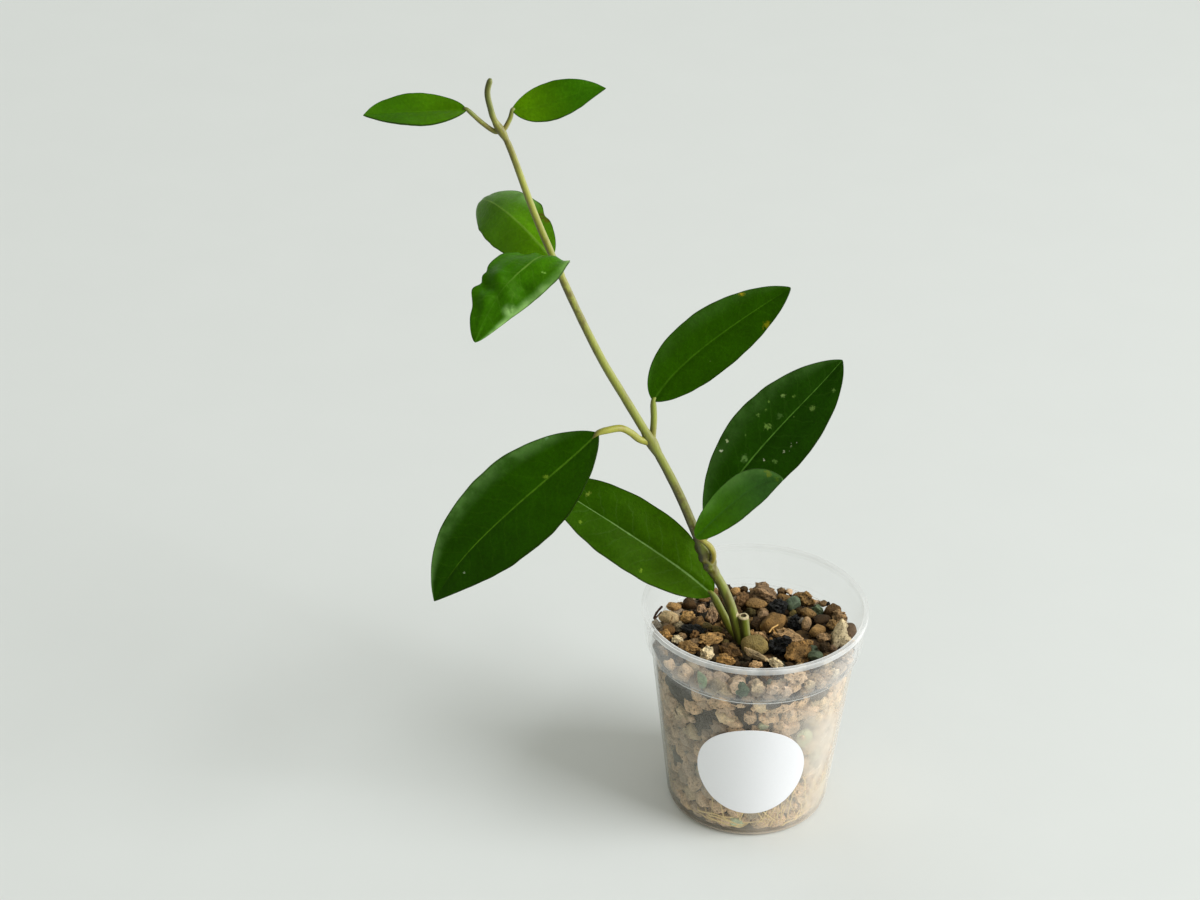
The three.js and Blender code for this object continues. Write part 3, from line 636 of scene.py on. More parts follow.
leaves = [
    {"node": "leaf_top_left", "slot": "young_leaf", "seed": 1,
     "stalk": [(-89.5, 5, 260), (-91.5, 5.5, 259.7), (-95.5, 6, 262.5)], "stalkRadius": (0.85, 0.7),
     "midrib": [(-100.2, 6, 267), (-113.4, 5, 266.2), (-123.7, 2, 267.8), (-132.7, -2, 268)],
     "across": (0.21, -0.88, -0.42), "half": (6.8, 6.8), "outline": (0.68, 0.9), "ripple": 0.2, "bumps": 0.1,
     "look": {"base": "406d02", "tip": "336103", "rib": "5f8c1c", "ribSeen": 0.14, "ribEnd": 0.9}},
    {"node": "leaf_top_right", "slot": "young_leaf", "seed": 2,
     "stalk": [(-89.5, 5, 260), (-88, 5.5, 260.5), (-86.2, 7, 263.5)], "stalkRadius": (0.85, 0.7),
     "midrib": [(-85.5, 8, 266.2), (-74, 9, 266.2), (-66.4, 12, 271.9), (-55.5, 15, 271)],
     "across": (-0.26, 0.64, 0.72), "half": (6.4, 6.4), "outline": (0.65, 0.93), "ripple": 0.2, "bumps": 0.1,
     "look": {"base": "4a7502", "tip": "2c5b02", "rib": "5f8c1c", "ribSeen": 0.08, "ribEnd": 0.9}},
    {"node": "leaf_upper_back", "seed": 3,
     "stalk": [(-71, 1, 212.5), (-71.5, 3, 213.2)], "stalkRadius": (1, 0.9),
     "midrib": [(-72.7, 5, 213.7), (-82.6, 14.5, 223.1), (-96.8, 30.3, 227), (-98.1, 42.3, 215.2)],
     "across": (-0.62, -0.42, -0.57), "half": (10.3, 12.1), "outline": (0.64, 0.76), "fold": -24,
     "ripple": 0.44, "ripples": 2.2, "start": (1.3, -0.65), "bumps": 0.25,
     "dents": [(0.3, -1, 0.09, 0.04), (0.38, -1, -0.07, 0.06)],
     "look": {"base": "568b06", "tip": "43700f", "rib": "8cb04a", "ribSeen": 0.34, "sheen": 0.6,
              "sheenFrom": 0.3, "sheenSide": -1, "lobe": 0.5},
     "spots": [(0.3, -0.88, 3, "5a3a10"), (0.25, -0.9, 2.2, "6b5212")]},
    {"node": "leaf_upper_front", "seed": 4,
     "stalk": [(-71, 1, 212.5), (-71, -1.5, 213)], "stalkRadius": (1, 0.9),
     "midrib": [(-71.9, -3.4, 214.6), (-70.2, -7.6, 229.5), (-89, -21, 222), (-96.4, -29.9, 201.2)],
     "across": (1, -0.06, -0.02), "half": (10.8, 10.8), "outline": (0.69, 0.73), "fold": -16.4, "ripple": 0.4,
     "ripples": 2.34, "start": (2.5, -0.2), "bumps": 0.5,
     "dents": [(0.67, -1, 0.1, 0.022), (0.735, -1, 0.13, 0.03), (0.79, -1, -0.13, 0.03), (0.86, -1, 0.1, 0.03),
               (0.41, -1, 0.1, 0.05)],
     "bulges": [(0.24, -0.7, 2, 0.08, 0.45), (0.66, -0.45, 2.3, 0.045, 0.3), (0.8, -0.45, 2.0, 0.045, 0.32),
                (0.735, -0.6, -1.3, 0.03, 0.4), (0.61, 0.42, -1.7, 0.05, 0.3), (0.72, 0.3, 1.2, 0.045, 0.3),
                (0.5, 0.25, -0.8, 0.06, 0.3)],
     "look": {"base": "427806", "tip": "2f6004", "rib": "7fa646", "ribSeen": 0.55, "shine": "9cc876",
              "sheenReach": 0.84, "sheen": 0.9, "ribEnd": 0.72, "patch": (0.78, 0.72, 0.8)},
     "spots": [(0.425, 0.58, 0.8, "8cbe50"), (0.44, 0.5, 0.8, "8cbe50")]},
    {"node": "leaf_middle_left", "seed": 5, "stalkSkin": "pale",
     "stalk": [(-38, -2, 148), (-42, -3.5, 149.8), (-45, -5, 153.2), (-48.5, -7, 156.2), (-53, -9, 156.6)],
     "stalkRadius": (1.25, 1.1),
     "midrib": [(-56.3, -10, 156), (-76.2, -14, 135), (-101.2, -22, 120.1), (-111, -30, 100.3)],
     "across": (0.67, -0.59, -0.45), "half": (16.2, 16.5), "outline": (0.76, 0.92), "ripple": 0.5,
     "ripples": 2.5, "bumps": 0.3,
     "look": {"base": "234c00", "tip": "1a3e02", "rib": "56821c", "ribSeen": 0.7, "sheen": 0.34,
              "sheenReach": 0.78, "sheenSide": -1, "ribEnd": 0.95},
     "spots": [(0.8, 0.38, 0.7, "b8c8a8"), (0.27, -0.06, 1.4, "6c8a24"), (0.17, -0.94, 1, "5f8a60")]},
    {"node": "leaf_middle_right", "seed": 6,
     "stalk": [(-38, -2, 148), (-37.6, -1, 151.5), (-37.4, 0, 156.5)], "stalkRadius": (1.2, 1),
     "midrib": [(-37.7, 1, 162.4), (-29.8, 4, 177.5), (-8.7, 10, 189.4), (7.7, 16, 198.7)],
     "across": (-0.64, 0.45, 0.62), "half": (10.6, 10.9), "outline": (0.68, 0.81), "ripple": 0.4, "bumps": 0.25,
     "look": {"base": "275000", "tip": "1f4400", "rib": "4b7a16", "ribSeen": 0.5, "sheen": 0.08},
     "spots": [(0.76, 0.89, 1.3, "a08a10"), (0.78, -0.88, 2.2, "7d7a10"), (0.42, -0.49, 0.5, "a0b070")]},
    {"node": "leaf_lower_right_large", "seed": 7,
     "stalk": [(-17.5, -0.5, 100), (-20.5, 2.2, 102), (-20.5, 4.8, 103)], "stalkRadius": (1.2, 1.1),
     "midrib": [(-17.6, 7, 104.5), (-11.6, 12, 128), (9, 20, 142.9), (27.8, 28, 164.3)],
     "across": (-0.77, 0.49, 0.4), "half": (14.3, 14.3), "outline": (1.05, 0.79), "ripple": 0.5, "ripples": 2.5,
     "bumps": 0.3,
     "look": {"base": "1b3f02", "tip": "193c04", "rib": "5d8c34", "ribSeen": 0.85, "sheen": 0.14,
              "ribEnd": 1.2},
     "spots": [(0.73, 0.53, 1.3, "7d9a52"), (0.76, 0.3, 0.9, "6f8f3e"), (0.78, -0.34, 1.7, "6f8f42"),
               (0.67, 0.64, 0.9, "638436"), (0.64, 0.55, 0.8, "638436"), (0.6, 0.59, 1.2, "64843c"),
               (0.59, 0.23, 2.0, "6d8f40"), (0.66, 0.19, 1.8, "44642c"), (0.43, 0.79, 1.0, "b4bf90"),
               (0.38, 0.8, 0.9, "dadcc4"), (0.42, 0.16, 2.1, "5f8240"), (0.47, -0.27, 0.8, "ccd0b4"),
               (0.5, -0.51, 1.5, "5f823c"), (0.56, -0.5, 0.8, "bcc4a0"), (0.6, -0.56, 0.7, "b0b890"),
               (0.61, -0.5, 0.5, "c4c8ac"), (0.63, -0.6, 0.5, "c4c8ac"), (0.58, -0.6, 0.4, "c4c8ac"),
               (0.89, -0.64, 1.2, "64843e"), (0.7, -0.1, 0.6, "5f8038"), (0.5, 0.5, 0.6, "5f8038")]},
    {"node": "leaf_lower_right_small", "seed": 8, "stalkSkin": "pale", "footSink": 1.1,
     "stalk": [(-17, -1, 98), (-15.6, -2.5, 102), (-16.4, -4, 106.5), (-18.6, -4.6, 109.4)],
     "stalkRadius": (1.25, 0.95),
     "midrib": [(-22, -5, 111.6), (-6.5, -8, 132.7), (-2.3, -12, 139.5), (6.1, -17, 143.3)],
     "across": (-0.44, 0.65, 0.63), "half": (7, 7), "outline": (0.53, 0.77), "ripple": 0.3, "bumps": 0.2,
     # its greyish tip colour is partly a painted sheen
     "look": {"base": "447a06", "tip": "3c6a28", "rib": "4d7a48", "ribSeen": 0.2, "sheen": 0.36,
              "sheenReach": 0.6, "ribEnd": 0.9},
     "spots": [(0.84, 0.75, 2.2, "7c8a1e"), (0.93, 0.2, 1.8, "5f8420")]},
    {"node": "leaf_base_left", "slot": "young_leaf", "seed": 9,
     "stalk": [(-4.6, 3.7, 59), (-6.6, 3.7, 64.5), (-9, 3.8, 69.5), (-12, 3.9, 76)], "stalkRadius": (1.5, 1.3),
     "midrib": [(-15, 4, 82), (-32.1, 7, 97.3), (-55.7, 13, 108.6), (-74.6, 20, 118.6)],
     "across": (-0.51, -0.66, -0.55), "half": (13.3, 12.6), "outline": (0.62, 0.7), "ripple": 0.5,
     "ripples": 2.5, "bumps": 0.3,
     "look": {"base": "375c02", "tip": "2c5202", "rib": "7fa35c", "ribSeen": 0.85, "sheenSide": -1},
     "spots": [(0.78, -0.42, 1.4, "8aa03a"), (0.74, 0.64, 1.1, "7c9c2c"), (0.37, 0.75, 1.2, "82a42c")]},
]


def outlineWidth(share, outline):
    atBase, atTip = outline
    widest = atBase / (atBase + atTip)
    return share**atBase * (1 - share) ** atTip / (widest**atBase * (1 - widest) ** atTip)


def ribFrame(leaf, share):
    a, b, c, d = [Vector(p) for p in leaf["midrib"]]
    rest = 1 - share
    place = rest**3 * a + 3 * rest**2 * share * b + 3 * rest * share**2 * c + share**3 * d
    tangent = (rest**2 * (b - a) + 2 * rest * share * (c - b) + share**2 * (d - c)).normalized()
    across = Vector(leaf["across"])
    across = (across - tangent * across.dot(tangent)).normalized()
    return place, across, tangent.cross(across)


def hump(offset, reach):
    return math.exp(-((offset / reach) ** 2))


def bladePoint(leaf, share, side):
    place, across, up = ribFrame(leaf, share)
    width = outlineWidth(share, leaf["outline"])
    half = max(width * leaf["half"][0 if side < 0 else 1], leafShape["tipWidth"])
    reach = abs(side) * half
    start = leaf["start"][0 if side < 0 else 1]
    wave = leaf["ripple"] * side**2 * math.sqrt(width) * math.sin(2 * math.pi * leaf["ripples"] * share + start)
    fold = math.radians(leaf["fold"])
    rise = reach * math.sin(fold) + wave
    rise -= leafShape["channel"] * hump(reach, leafShape["channelWidth"]) * min(1, 4 * width)
    far = Vector((share * 5 + leaf["seed"] * 7.3, side * 2.2, leaf["seed"] * 1.7))
    rise += leaf["bumps"] * noise.noise(far) * min(1, 2 * width) * 1.6
    for bulgeShare, bulgeSide, height, along, sideways in leaf["bulges"]:
        rise += height * math.exp(-(((share - bulgeShare) / along) ** 2) - ((side - bulgeSide) / sideways) ** 2)
    edge = 1 + 0.018 * noise.noise(far * 3.1) * abs(side) ** 4
    for dentShare, dentSide, depth, along in leaf["dents"]:
        if dentSide * side > 0:
            edge -= depth * abs(side) ** 6 * hump(share - dentShare, along)
    sign = 1 if side > 0 else -1
    return place + across * sign * reach * edge * math.cos(fold) + up * rise, half


def addVeins(tree, place, along, away, edge):  # they leave the midrib at a slant and fade towards the margin
    slant = doMath(tree, "SUBTRACT", along, times(tree, away, 0.8))
    bent = plus(tree, slant, times(tree, cloud(tree, place, 7), 0.07))
    beat = doMath(tree, "SINE", times(tree, bent, 2 * math.pi / 0.062))
    return times(tree, fade(tree, beat, 0.93, 1.0), fade(tree, edge, 0.5, 0.95, 1.0, 0.0))


def addRib(tree, place, share, away, look):  # the midrib narrows towards the tip and is broken in places
    width = fade(tree, share, 0.0, 1.0, 0.0058, 0.002)
    uneven = doMath(tree, "SUBTRACT", times(tree, cloud(tree, place, 1.5), 0.004), 0.002)
    rib = fade(tree, doMath(tree, "DIVIDE", plus(tree, away, uneven), width), 0.35, 1.0, look["ribSeen"], 0.0)
    rib = times(tree, rib, fade(tree, cloud(tree, place, 4), 0.3, 0.6, 0.55, 1.0))
    return times(tree, rib, fade(tree, share, look["ribEnd"] - 0.25, look["ribEnd"], 1.0, 0.12))


def addSheen(tree, place, share, side, look):  # a pale shine along one half of the blade
    reach = look["sheenReach"]
    inner, outer = (reach, 1.0) if look["sheenSide"] > 0 else (1 - reach, 0.0)
    sheen = times(tree, fade(tree, side, inner, outer), look["sheen"])
    sheen = times(tree, sheen, fade(tree, cloud(tree, place, 7), 0.3, 0.65, 0.25, 1.0))
    return times(tree, sheen, fade(tree, share, look["sheenFrom"], look["sheenFrom"] + 0.2))


def bladeSkin(leaf):
    look = leaf["look"]
    material, tree, shader = newMaterial(leaf["node"] + "_skin")
    place = objectPlace(tree)
    share, side = splitPlace(tree, addNode(tree, "UVMap", uv_map="shareMap").outputs[0])[:2]
    along, across = splitPlace(tree, addNode(tree, "UVMap", uv_map="sizeMap").outputs[0])[:2]
    away = offFrom(tree, across, 0.5)  # from the midrib, in tenths of a metre
    edge = times(tree, offFrom(tree, side, 0.5), 2.0)
    green = blend(tree, fade(tree, share, 0.05, 0.75), colour(look["base"]), colour(look["tip"]))
    patches = mottled(tree, green, place, 120.0, 0.75)[0]
    skin, grain = mottled(tree, patches, place, 900.0, 0.6)
    vein = addVeins(tree, place, along, away, edge)
    skin = blend(tree, times(tree, vein, 0.05), skin, colour(look["rib"]))
    skin = blend(tree, addRib(tree, place, share, away, look), skin, colour(look["rib"]))
    for spotShare, spotSide, size, code in leaf["spots"]:
        near = distanceFrom(tree, place, bladePoint(leaf, spotShare, spotSide)[0] * mm)
        ragged = plus(tree, near, times(tree, cloud(tree, place, 0.8), 2 * size * mm))
        skin = blend(tree, fadeOver(tree, ragged, (1.2 * size, 1.8 * size), 0.8, 0.0), skin, colour(code))
    skin = blend(tree, addSheen(tree, place, share, side, look), skin, colour(look["shine"]))
    if "patch" in look:  # one bright reflection
        patchShare, patchSide, strength = look["patch"]
        near = distanceFrom(tree, place, bladePoint(leaf, patchShare, patchSide)[0] * mm)
        bright = times(tree, fadeOver(tree, near, (0, 3.2), strength, 0.0),
                       fade(tree, cloud(tree, place, 2), 0.35, 0.6, 0.35, 1.0))
        skin = blend(tree, bright, skin, colour(look["shine"]))
    lobe = times(tree, fade(tree, share, 0.25, 0.5, 1.0, 0.0), fade(tree, side, 0.1, 0.4, 1.0, 0.0))
    skin = blend(tree, times(tree, lobe, look["lobe"]), skin, colour(look["lobeTint"]))
    rim = times(tree, fade(tree, edge, 0.95, 0.995), 0.7)
    skin = blend(tree, rim, skin, colour(look["rim"]))
    height = plus(tree, grain, times(tree, vein, -0.15))
    height = plus(tree, height, times(tree, cloud(tree, place, 0.35, 2), 0.5))
    setSkin(tree, shader, skin, fade(tree, cloud(tree, place, 5), 0.3, 0.7, 0.3, 0.46), height, 0.14)
    shader.inputs["Subsurface Weight"].default_value = 0.12
    shader.inputs["Subsurface Radius"].default_value = (0.0006, 0.0014, 0.0003)
    shader.inputs["Specular IOR Level"].default_value = 0.08
    shader.inputs["Specular Tint"].default_value = (0.7, 1, 0.2, 1)
    return material


def makeBlade(leaf):
    deselectAll()
    along, across = leafShape["along"], leafShape["across"]
    bpy.ops.mesh.primitive_grid_add(x_subdivisions=along, y_subdivisions=across, size=2)
    piece = bpy.context.object
    mesh = piece.data
    mesh.uv_layers[0].name = "shareMap"
    sizes = mesh.uv_layers.new(name="sizeMap")
    length = sum((Vector(b) - Vector(a)).length for a, b in zip(leaf["midrib"], leaf["midrib"][1:]))
    places, uses = [], []
    for vertex in mesh.vertices:
        even, side = (vertex.co.x + 1) / 2, vertex.co.y
        share = (even + (1 - math.cos(math.pi * even)) / 2) / 2  # closer rows at base and tip
        place, half = bladePoint(leaf, min(max(share, 0), 1), side)
        places.append(place * mm)
        uses.append((share, share * length / 100, 0.5 + side * half / 100))
    for loop in mesh.loops:
        share, lengthwise, crosswise = uses[loop.vertex_index]
        sizes.data[loop.index].uv = (lengthwise, crosswise)
        mesh.uv_layers["shareMap"].data[loop.index].uv.x = share
    for vertex, place in zip(mesh.vertices, places):
        vertex.co = place
    mesh.materials.append(bladeSkin(leaf))
    only(piece)
    bpy.ops.object.mode_set(mode="EDIT")
    bpy.ops.mesh.select_all(action="SELECT")
    bpy.ops.mesh.remove_doubles(threshold=0.02 * mm)
    bpy.ops.object.mode_set(mode="OBJECT")
    useModifier(piece, "SOLIDIFY", thickness=leafShape["thickness"] * mm, offset=0)
    return piece


def makeStalk(leaf, skin):
    under = []
    for share, sink in ((0.025, 0.7), (0.07, 0.95), (0.12, 0.8)):  # it runs on under the blade
        place, across, up = ribFrame(leaf, share)
        under.append(place - up * sink)
    place, across, up = ribFrame(leaf, 0)
    foot = place - up * leaf["footSink"]
    points = [Vector(p) for p in leaf["stalk"]] + [foot] + under
    path = curvePoints([p * mm for p in points], leafShape["stalkSteps"])
    first, last = leaf["stalkRadius"]
    radii = []
    for i, place in enumerate(path):
        share = i / leafShape["stalkSteps"]
        passed = (place / mm - under[-1]).length / (foot - under[-1]).length  # more than 1 before the blade
        full = min(max(passed - 0.35, 0) / 0.85, 1)
        radius = (first + (last - first) * share) * full + 0.3 * (1 - full)
        radius += 0.22 * hump(share, 0.08)  # a little collar at the stem
        radii.append(radius * (1 + 0.05 * noise.noise(place * 400)))
    stalk = tubeAlong(path, radii)
    stalk.data.materials.append(skin)
    return stalk


def makeLeaves():
    skins = {"green": stemSkin("stalkSkin", "8d9c34", "8a962e", "7a6428"),
             "pale": stemSkin("paleStalkSkin", "9a9c40", "a8a838", "8a7030")}
    for special in leaves:
        leaf = {**usualLeaf, **special}
        leaf["look"] = {**usualLook, **special["look"]}
        whole = joinPieces([makeBlade(leaf), makeStalk(leaf, skins[leaf["stalkSkin"]])])
        finishPiece(whole, leaf["node"] + "_blade", leaf["node"], sharp=75)


makeLeaves()
print("leaves made:", len(leaves))


# gravel: a packed core, dark as painted shade in the gaps, stones against the wall, and loose stones on top

gravel = {
    "seed": 27,
    "wallGap": 0.35, "least": 1.4, "edge": 35.5,  # room beside a stone and under it, and how wide the bed is
    "bottom": 1.3, "edgeTop": 63.6, "middleTop": 62.4, "backDrop": 1.6, "coreInset": 2.5,
    "rows": 10, "perRow": 27, "rowSize": 6.4, "wallSize": (0.85, 1.15), "wallLight": 1.5, "dusty": 0.4,
    "small": 300, "smallSize": (1.1, 2.1), "smallTop": 65.5,
    "under": 150, "underSize": (2.7, 3.9), "underLevel": 63.2, "underLight": 0.13,
    "loose": 110, "looseSize": (1.6, 3.2), "looseLevel": 65.9, "looseLight": 0.55, "tries": 6000,
    "bank": 32, "bankLevel": 65.8, "bankSize": (6.4, 5),
    "bankFront": [(0, 0.45, 0.55), (-0.6, 1.1, 0.5), (3.2, 0.55, 0.5), (2.2, 1.2, 0.45)],
    "bankBehind": [(-2.4, 0.5, 0.3)],  # rise, how far it is sunk into the bed, light
}

stoneColours = {
    "tan": ["b08c5e", "a5824f", "b8966a", "9a7a4a", "c2a074"],
    "brown": ["6f5434", "5f4727", "7a5c38", "54401f"],
    "ochre": ["a88350", "9c7844", "b08a54"],
    "pink": ["a68866", "a98d70"],
    "cream": ["d6bf90", "cdb488", "dccaa2"],
    "olive": ["857444", "786a38"],
    "grey": ["958c7c", "9c9482"],
    "black": ["131412", "1a1b19"],
    "green": ["5c6a50", "4c5b46", "6b7c62"],
}
kindsUpTo = [("tan", 0.36), ("brown", 0.62), ("ochre", 0.76), ("cream", 0.83), ("pink", 0.89), ("olive", 0.93),
             ("grey", 0.95), ("green", 0.975), ("black", 1)]  # how common each is, added up
howPitted = {"tan": 0.8, "cream": 0.45, "ochre": 0.8, "pink": 0.6, "brown": 0.35}
howDusty = {"black": 0.02, "green": 0.1}

# How a form is made: how many, how strong and wide its lumps are, flat cuts, rounding, narrowing, faces.
stoneForms = {
    "worn": (4, 0.28, 0.9, 2, 9, 0.25, 700),
    "rough": (7, 0.85, 0.55, 4, 4, 0.4, 900),
    "jagged": (3, 1.3, 0.34, 6, 1, 0.2, 900),
    "peaked": (1, 0.5, 0.6, 3, 5, 1.45, 900),
    "flake": (2, 0.7, 0.5, 5, 2, 0.6, 400),
    "loose": (9, 0.6, 0.6, 4, 5, 0.35, 260),
    "plain": (8, 0.5, 0.7, 4, 4, 0.3, 90),
}

# The stones that stand out on top: colour, form, place of the middle, size, turn.
topStones = [
    ("pink", "rough", (4.8, 30.3, 65.5), (11.2, 8.4, 6.9), -30),
    ("ochre", "worn", (2.0, 22.4, 65.9), (7.9, 5.5, 3.7), -12),
    ("black", "jagged", (9.7, 21.4, 65.9), (7.8, 7.0, 5.6), 0),
    ("black", "jagged", (14.9, 10.4, 66.5), (5.8, 4.6, 5.8), 40),
    ("green", "worn", (15.2, 23.3, 65.8), (6.1, 5.2, 6.1), 60),
    ("tan", "rough", (20.1, 26.1, 65.7), (7.4, 5.2, 6.5), -30),
    ("tan", "worn", (20.3, 16.5, 66.2), (6.5, 3.9, 4.0), -30),
    ("green", "rough", (23.9, 19.2, 66.0), (4.8, 3.4, 3.9), -30),
    ("tan", "worn", (26.1, 23.6, 65.8), (3.6, 2.9, 2.2), 0),
    ("brown", "worn", (29.1, 18.5, 66.1), (6.6, 5.3, 5.4), 10),
    ("black", "jagged", (27.8, 23.2, 65.8), (2.4, 1.9, 2.1), 0),
    ("tan", "worn", (29.2, 20.0, 65.8), (5.5, 3.8, 3.1), -10),
    ("tan", "rough", (31.5, 14.2, 66.2), (6.3, 5.7, 6.1), 0),
    ("pink", "worn", (34.2, 4.9, 66.7), (6.7, 5.7, 6.6), 60),
    ("cream", "peaked", (31.7, 2.4, 66.9), (9.0, 8.1, 13.3), 20),
    ("brown", "worn", (25.0, 12.4, 66.4), (6.5, 4.5, 3.5), 20),
    ("tan", "worn", (19.3, 9.5, 66.5), (5.8, 3.5, 5.8), 80),
    ("tan", "worn", (22.9, 4.7, 66.8), (6.1, 4.8, 4.6), 20),
    ("tan", "rough", (25.2, 0.5, 67.0), (5.9, 4.1, 2.7), 25),
    ("brown", "rough", (24.8, -5.9, 67.0), (4.4, 3.5, 4.3), 0),
    ("tan", "rough", (28.5, 9.1, 66.5), (4.5, 3.6, 3.8), 40),
    ("green", "worn", (21.3, -10.9, 67.0), (5.6, 4.5, 3.5), 15),
    ("ochre", "rough", (15.7, -9.0, 67.0), (13.2, 8.2, 9.0), 50),
    ("tan", "rough", (12.4, 1.0, 66.9), (11.8, 5.9, 4.0), -30),
    ("black", "jagged", (10.0, -5.6, 67.0), (10.2, 8.2, 8.6), 20),
    ("ochre", "worn", (7.3, 9.6, 66.5), (10.7, 7.1, 7.1), 32),
    ("pink", "worn", (4.0, 14.3, 66.3), (4.4, 3.5, 4.3), 30),
    ("tan", "rough", (2.7, 0.4, 67.0), (5.8, 2.9, 2.9), -35),
    ("olive", "worn", (0.3, -5.3, 67.0), (10.1, 8.1, 7.8), -15),
    ("cream", "flake", (0.3, -11.2, 67.0), (10.7, 3.2, 3.2), -40),
    ("cream", "rough", (7.1, -15.8, 67.0), (6.5, 3.9, 3.5), -25),
    ("tan", "rough", (0.2, -17.3, 67.0), (5.2, 4.2, 2.3), 0),
    ("ochre", "rough", (-10.2, -14.1, 67.0), (7.1, 5.0, 3.6), -15),
    ("brown", "rough", (-8.0, -8.7, 67.0), (9.7, 5.4, 4.7), -40),
    ("cream", "rough", (-16.6, -10.9, 67.0), (7.5, 5.6, 4.8), 70),
    ("tan", "rough", (-15.0, -1.4, 67.0), (10.4, 5.7, 5.5), 25),
    ("ochre", "rough", (-23.1, -7.3, 67.0), (8.4, 5.1, 4.2), -25),
    ("cream", "rough", (-26.9, -2.5, 67.0), (4.6, 3.2, 3.2), -20),
    ("ochre", "rough", (-31.2, -0.0, 67.0), (4.8, 3.8, 4.5), -40),
    ("brown", "worn", (-29.9, 3.9, 66.8), (4.8, 3.9, 3.8), -20),
    ("black", "jagged", (-21.3, 4.5, 66.8), (9.6, 4.3, 4.0), -8),
    ("tan", "rough", (-23.2, 12.3, 66.4), (6.1, 4.9, 4.7), 20),
    ("cream", "worn", (-29.8, 12.1, 66.4), (7.8, 5.9, 5.1), -10),
    ("ochre", "worn", (-28.2, 19.9, 66.0), (6.0, 4.2, 2.9), -8),
    ("brown", "worn", (-22.1, 21.9, 65.9), (5.6, 4.2, 4.6), -20),
    ("pink", "rough", (-18.0, 18.2, 66.1), (4.6, 3.2, 4.2), 60),
    ("pink", "rough", (-14.2, 13.8, 66.3), (6.6, 4.0, 6.6), 60),
    ("olive", "worn", (-16.2, 6.6, 66.7), (3.6, 2.9, 2.6), 0),
    ("grey", "rough", (-34.6, 7.4, 66.6), (4.4, 3.5, 3.5), -30),
    ("brown", "rough", (-20.6, 1.4, 66.9), (4.1, 2.9, 3.0), 60),
    ("ochre", "worn", (-5.3, 31.1, 65.4), (3.9, 3.2, 3.3), 40),
    ("brown", "worn", (-2.2, 32.6, 65.3), (3.0, 2.7, 3.0), 0),
    ("brown", "rough", (-3.4, 25.1, 65.7), (6.5, 5.2, 6.5), 40),
    ("tan", "rough", (-9.7, 9.1, 66.5), (3.9, 3.1, 3.9), 0),
    ("olive", "rough", (-12.7, 4.7, 66.8), (4.2, 3.3, 2.8), 0),
    ("brown", "rough", (-16.6, 25.5, 65.7), (4.8, 3.9, 2.1), 0),
]

# The bits that stand out behind the wall: colour, form, angle round the pot, height, width, tallness.
wallBits = [
    ("green", "flake", -121, 70.2, 4.0, 7.4), ("green", "flake", -98, 70.2, 4.9, 7.0),
    ("olive", "rough", -108, 67.8, 6.0, 3.3), ("cream", "rough", -90, 71.5, 4.9, 5.3),
    ("black", "rough", -148, 57.7, 10.9, 9.6), ("black", "rough", -134, 58.7, 6.3, 7.8),
    ("black", "jagged", -121, 50.1, 10.2, 8.2), ("tan", "rough", -122, 58.2, 7.5, 6.4),
    ("brown", "rough", -108, 58.1, 8.2, 7.4), ("tan", "rough", -99, 61.7, 5.3, 3.6),
    ("ochre", "rough", -93, 55.3, 4.6, 6.1), ("tan", "rough", -81, 58.9, 6.7, 7.1),
    ("pink", "rough", -70, 57.4, 5.0, 6.4), ("tan", "rough", -62, 54.6, 4.1, 5.4),
    ("green", "worn", -85, 51.9, 3.9, 3.0), ("pink", "worn", -65, 49.0, 5.4, 4.8),
    ("grey", "rough", -53, 51.2, 5.1, 4.8), ("ochre", "rough", -75, 51.4, 4.6, 4.4),
    ("pink", "rough", -82, 70.0, 4.6, 4.3), ("pink", "rough", -74, 68.8, 4.8, 4.3),
    ("tan", "rough", -91, 60.3, 2.9, 3.0), ("tan", "worn", -104, 52.1, 7.8, 4.1),
    ("cream", "rough", -50, 57.5, 6.1, 3.7), ("tan", "rough", -68, 73.2, 8.6, 5.0),
    ("olive", "rough", -60, 69.1, 4.7, 4.0), ("black", "flake", -37, 25.7, 4.5, 3.8),
    ("green", "worn", -99, 5.4, 6.3, 5.2), ("ochre", "rough", -83, 6.9, 5.4, 3.1),
    ("black", "jagged", -53, 21.7, 1.8, 1.7), ("black", "jagged", -126, 43.3, 1.8, 1.6),
    ("black", "flake", -16, 44.3, 3.0, 1.2), ("black", "flake", -26, 42.0, 2.2, 1.0),
    ("tan", "rough", -51, 67.5, 5.5, 4.5), ("cream", "rough", -42, 69, 5, 4.5),
    ("tan", "rough", -33, 67.5, 5.5, 4.5), ("pink", "rough", -24, 68, 5, 4),
    ("tan", "rough", -45, 63.5, 4.5, 3.5), ("pink", "rough", -36, 64, 4.5, 3.5),
    ("tan", "rough", -134, 68, 5, 4), ("ochre", "rough", -146, 68.5, 5, 4),
    ("brown", "flake", -155, 20.2, 2.1, 3.4), ("brown", "flake", -145, 47.7, 3.3, 4.1),
]

# bits of dry twig on top: points, radius, colour
twigs = [
    ([(-35.3, 8, 68.6), (-34.6, 9.6, 69.6), (-33.6, 10.6, 70.6), (-32.4, 12, 71.2)], 0.42, "40281c"),
    ([(-35, 7, 69.2), (-33.8, 8.6, 69.7), (-32.6, 10.2, 70.2)], 0.26, "4a3022"),
    ([(5.4, -1.6, 70.2), (6.6, 0, 70.9), (8.6, 2, 70.9)], 0.24, "c9a364"),
    ([(6.4, 0.6, 70.7), (7, -0.9, 70.6), (7.9, -2.6, 70)], 0.17, "b58a4c"),
    ([(-29.5, 6, 69), (-28.8, 7.6, 69.6), (-28.9, 9, 69.4)], 0.2, "8a6a40"),
]

dice = random.Random(gravel["seed"])
shapes = {}
stones = {"top": [], "wall": [], "black": [], "green": []}


def dropAt(y):  # the bed sinks a little towards the back
    return gravel["backDrop"] * max(0, y / gravel["edge"])


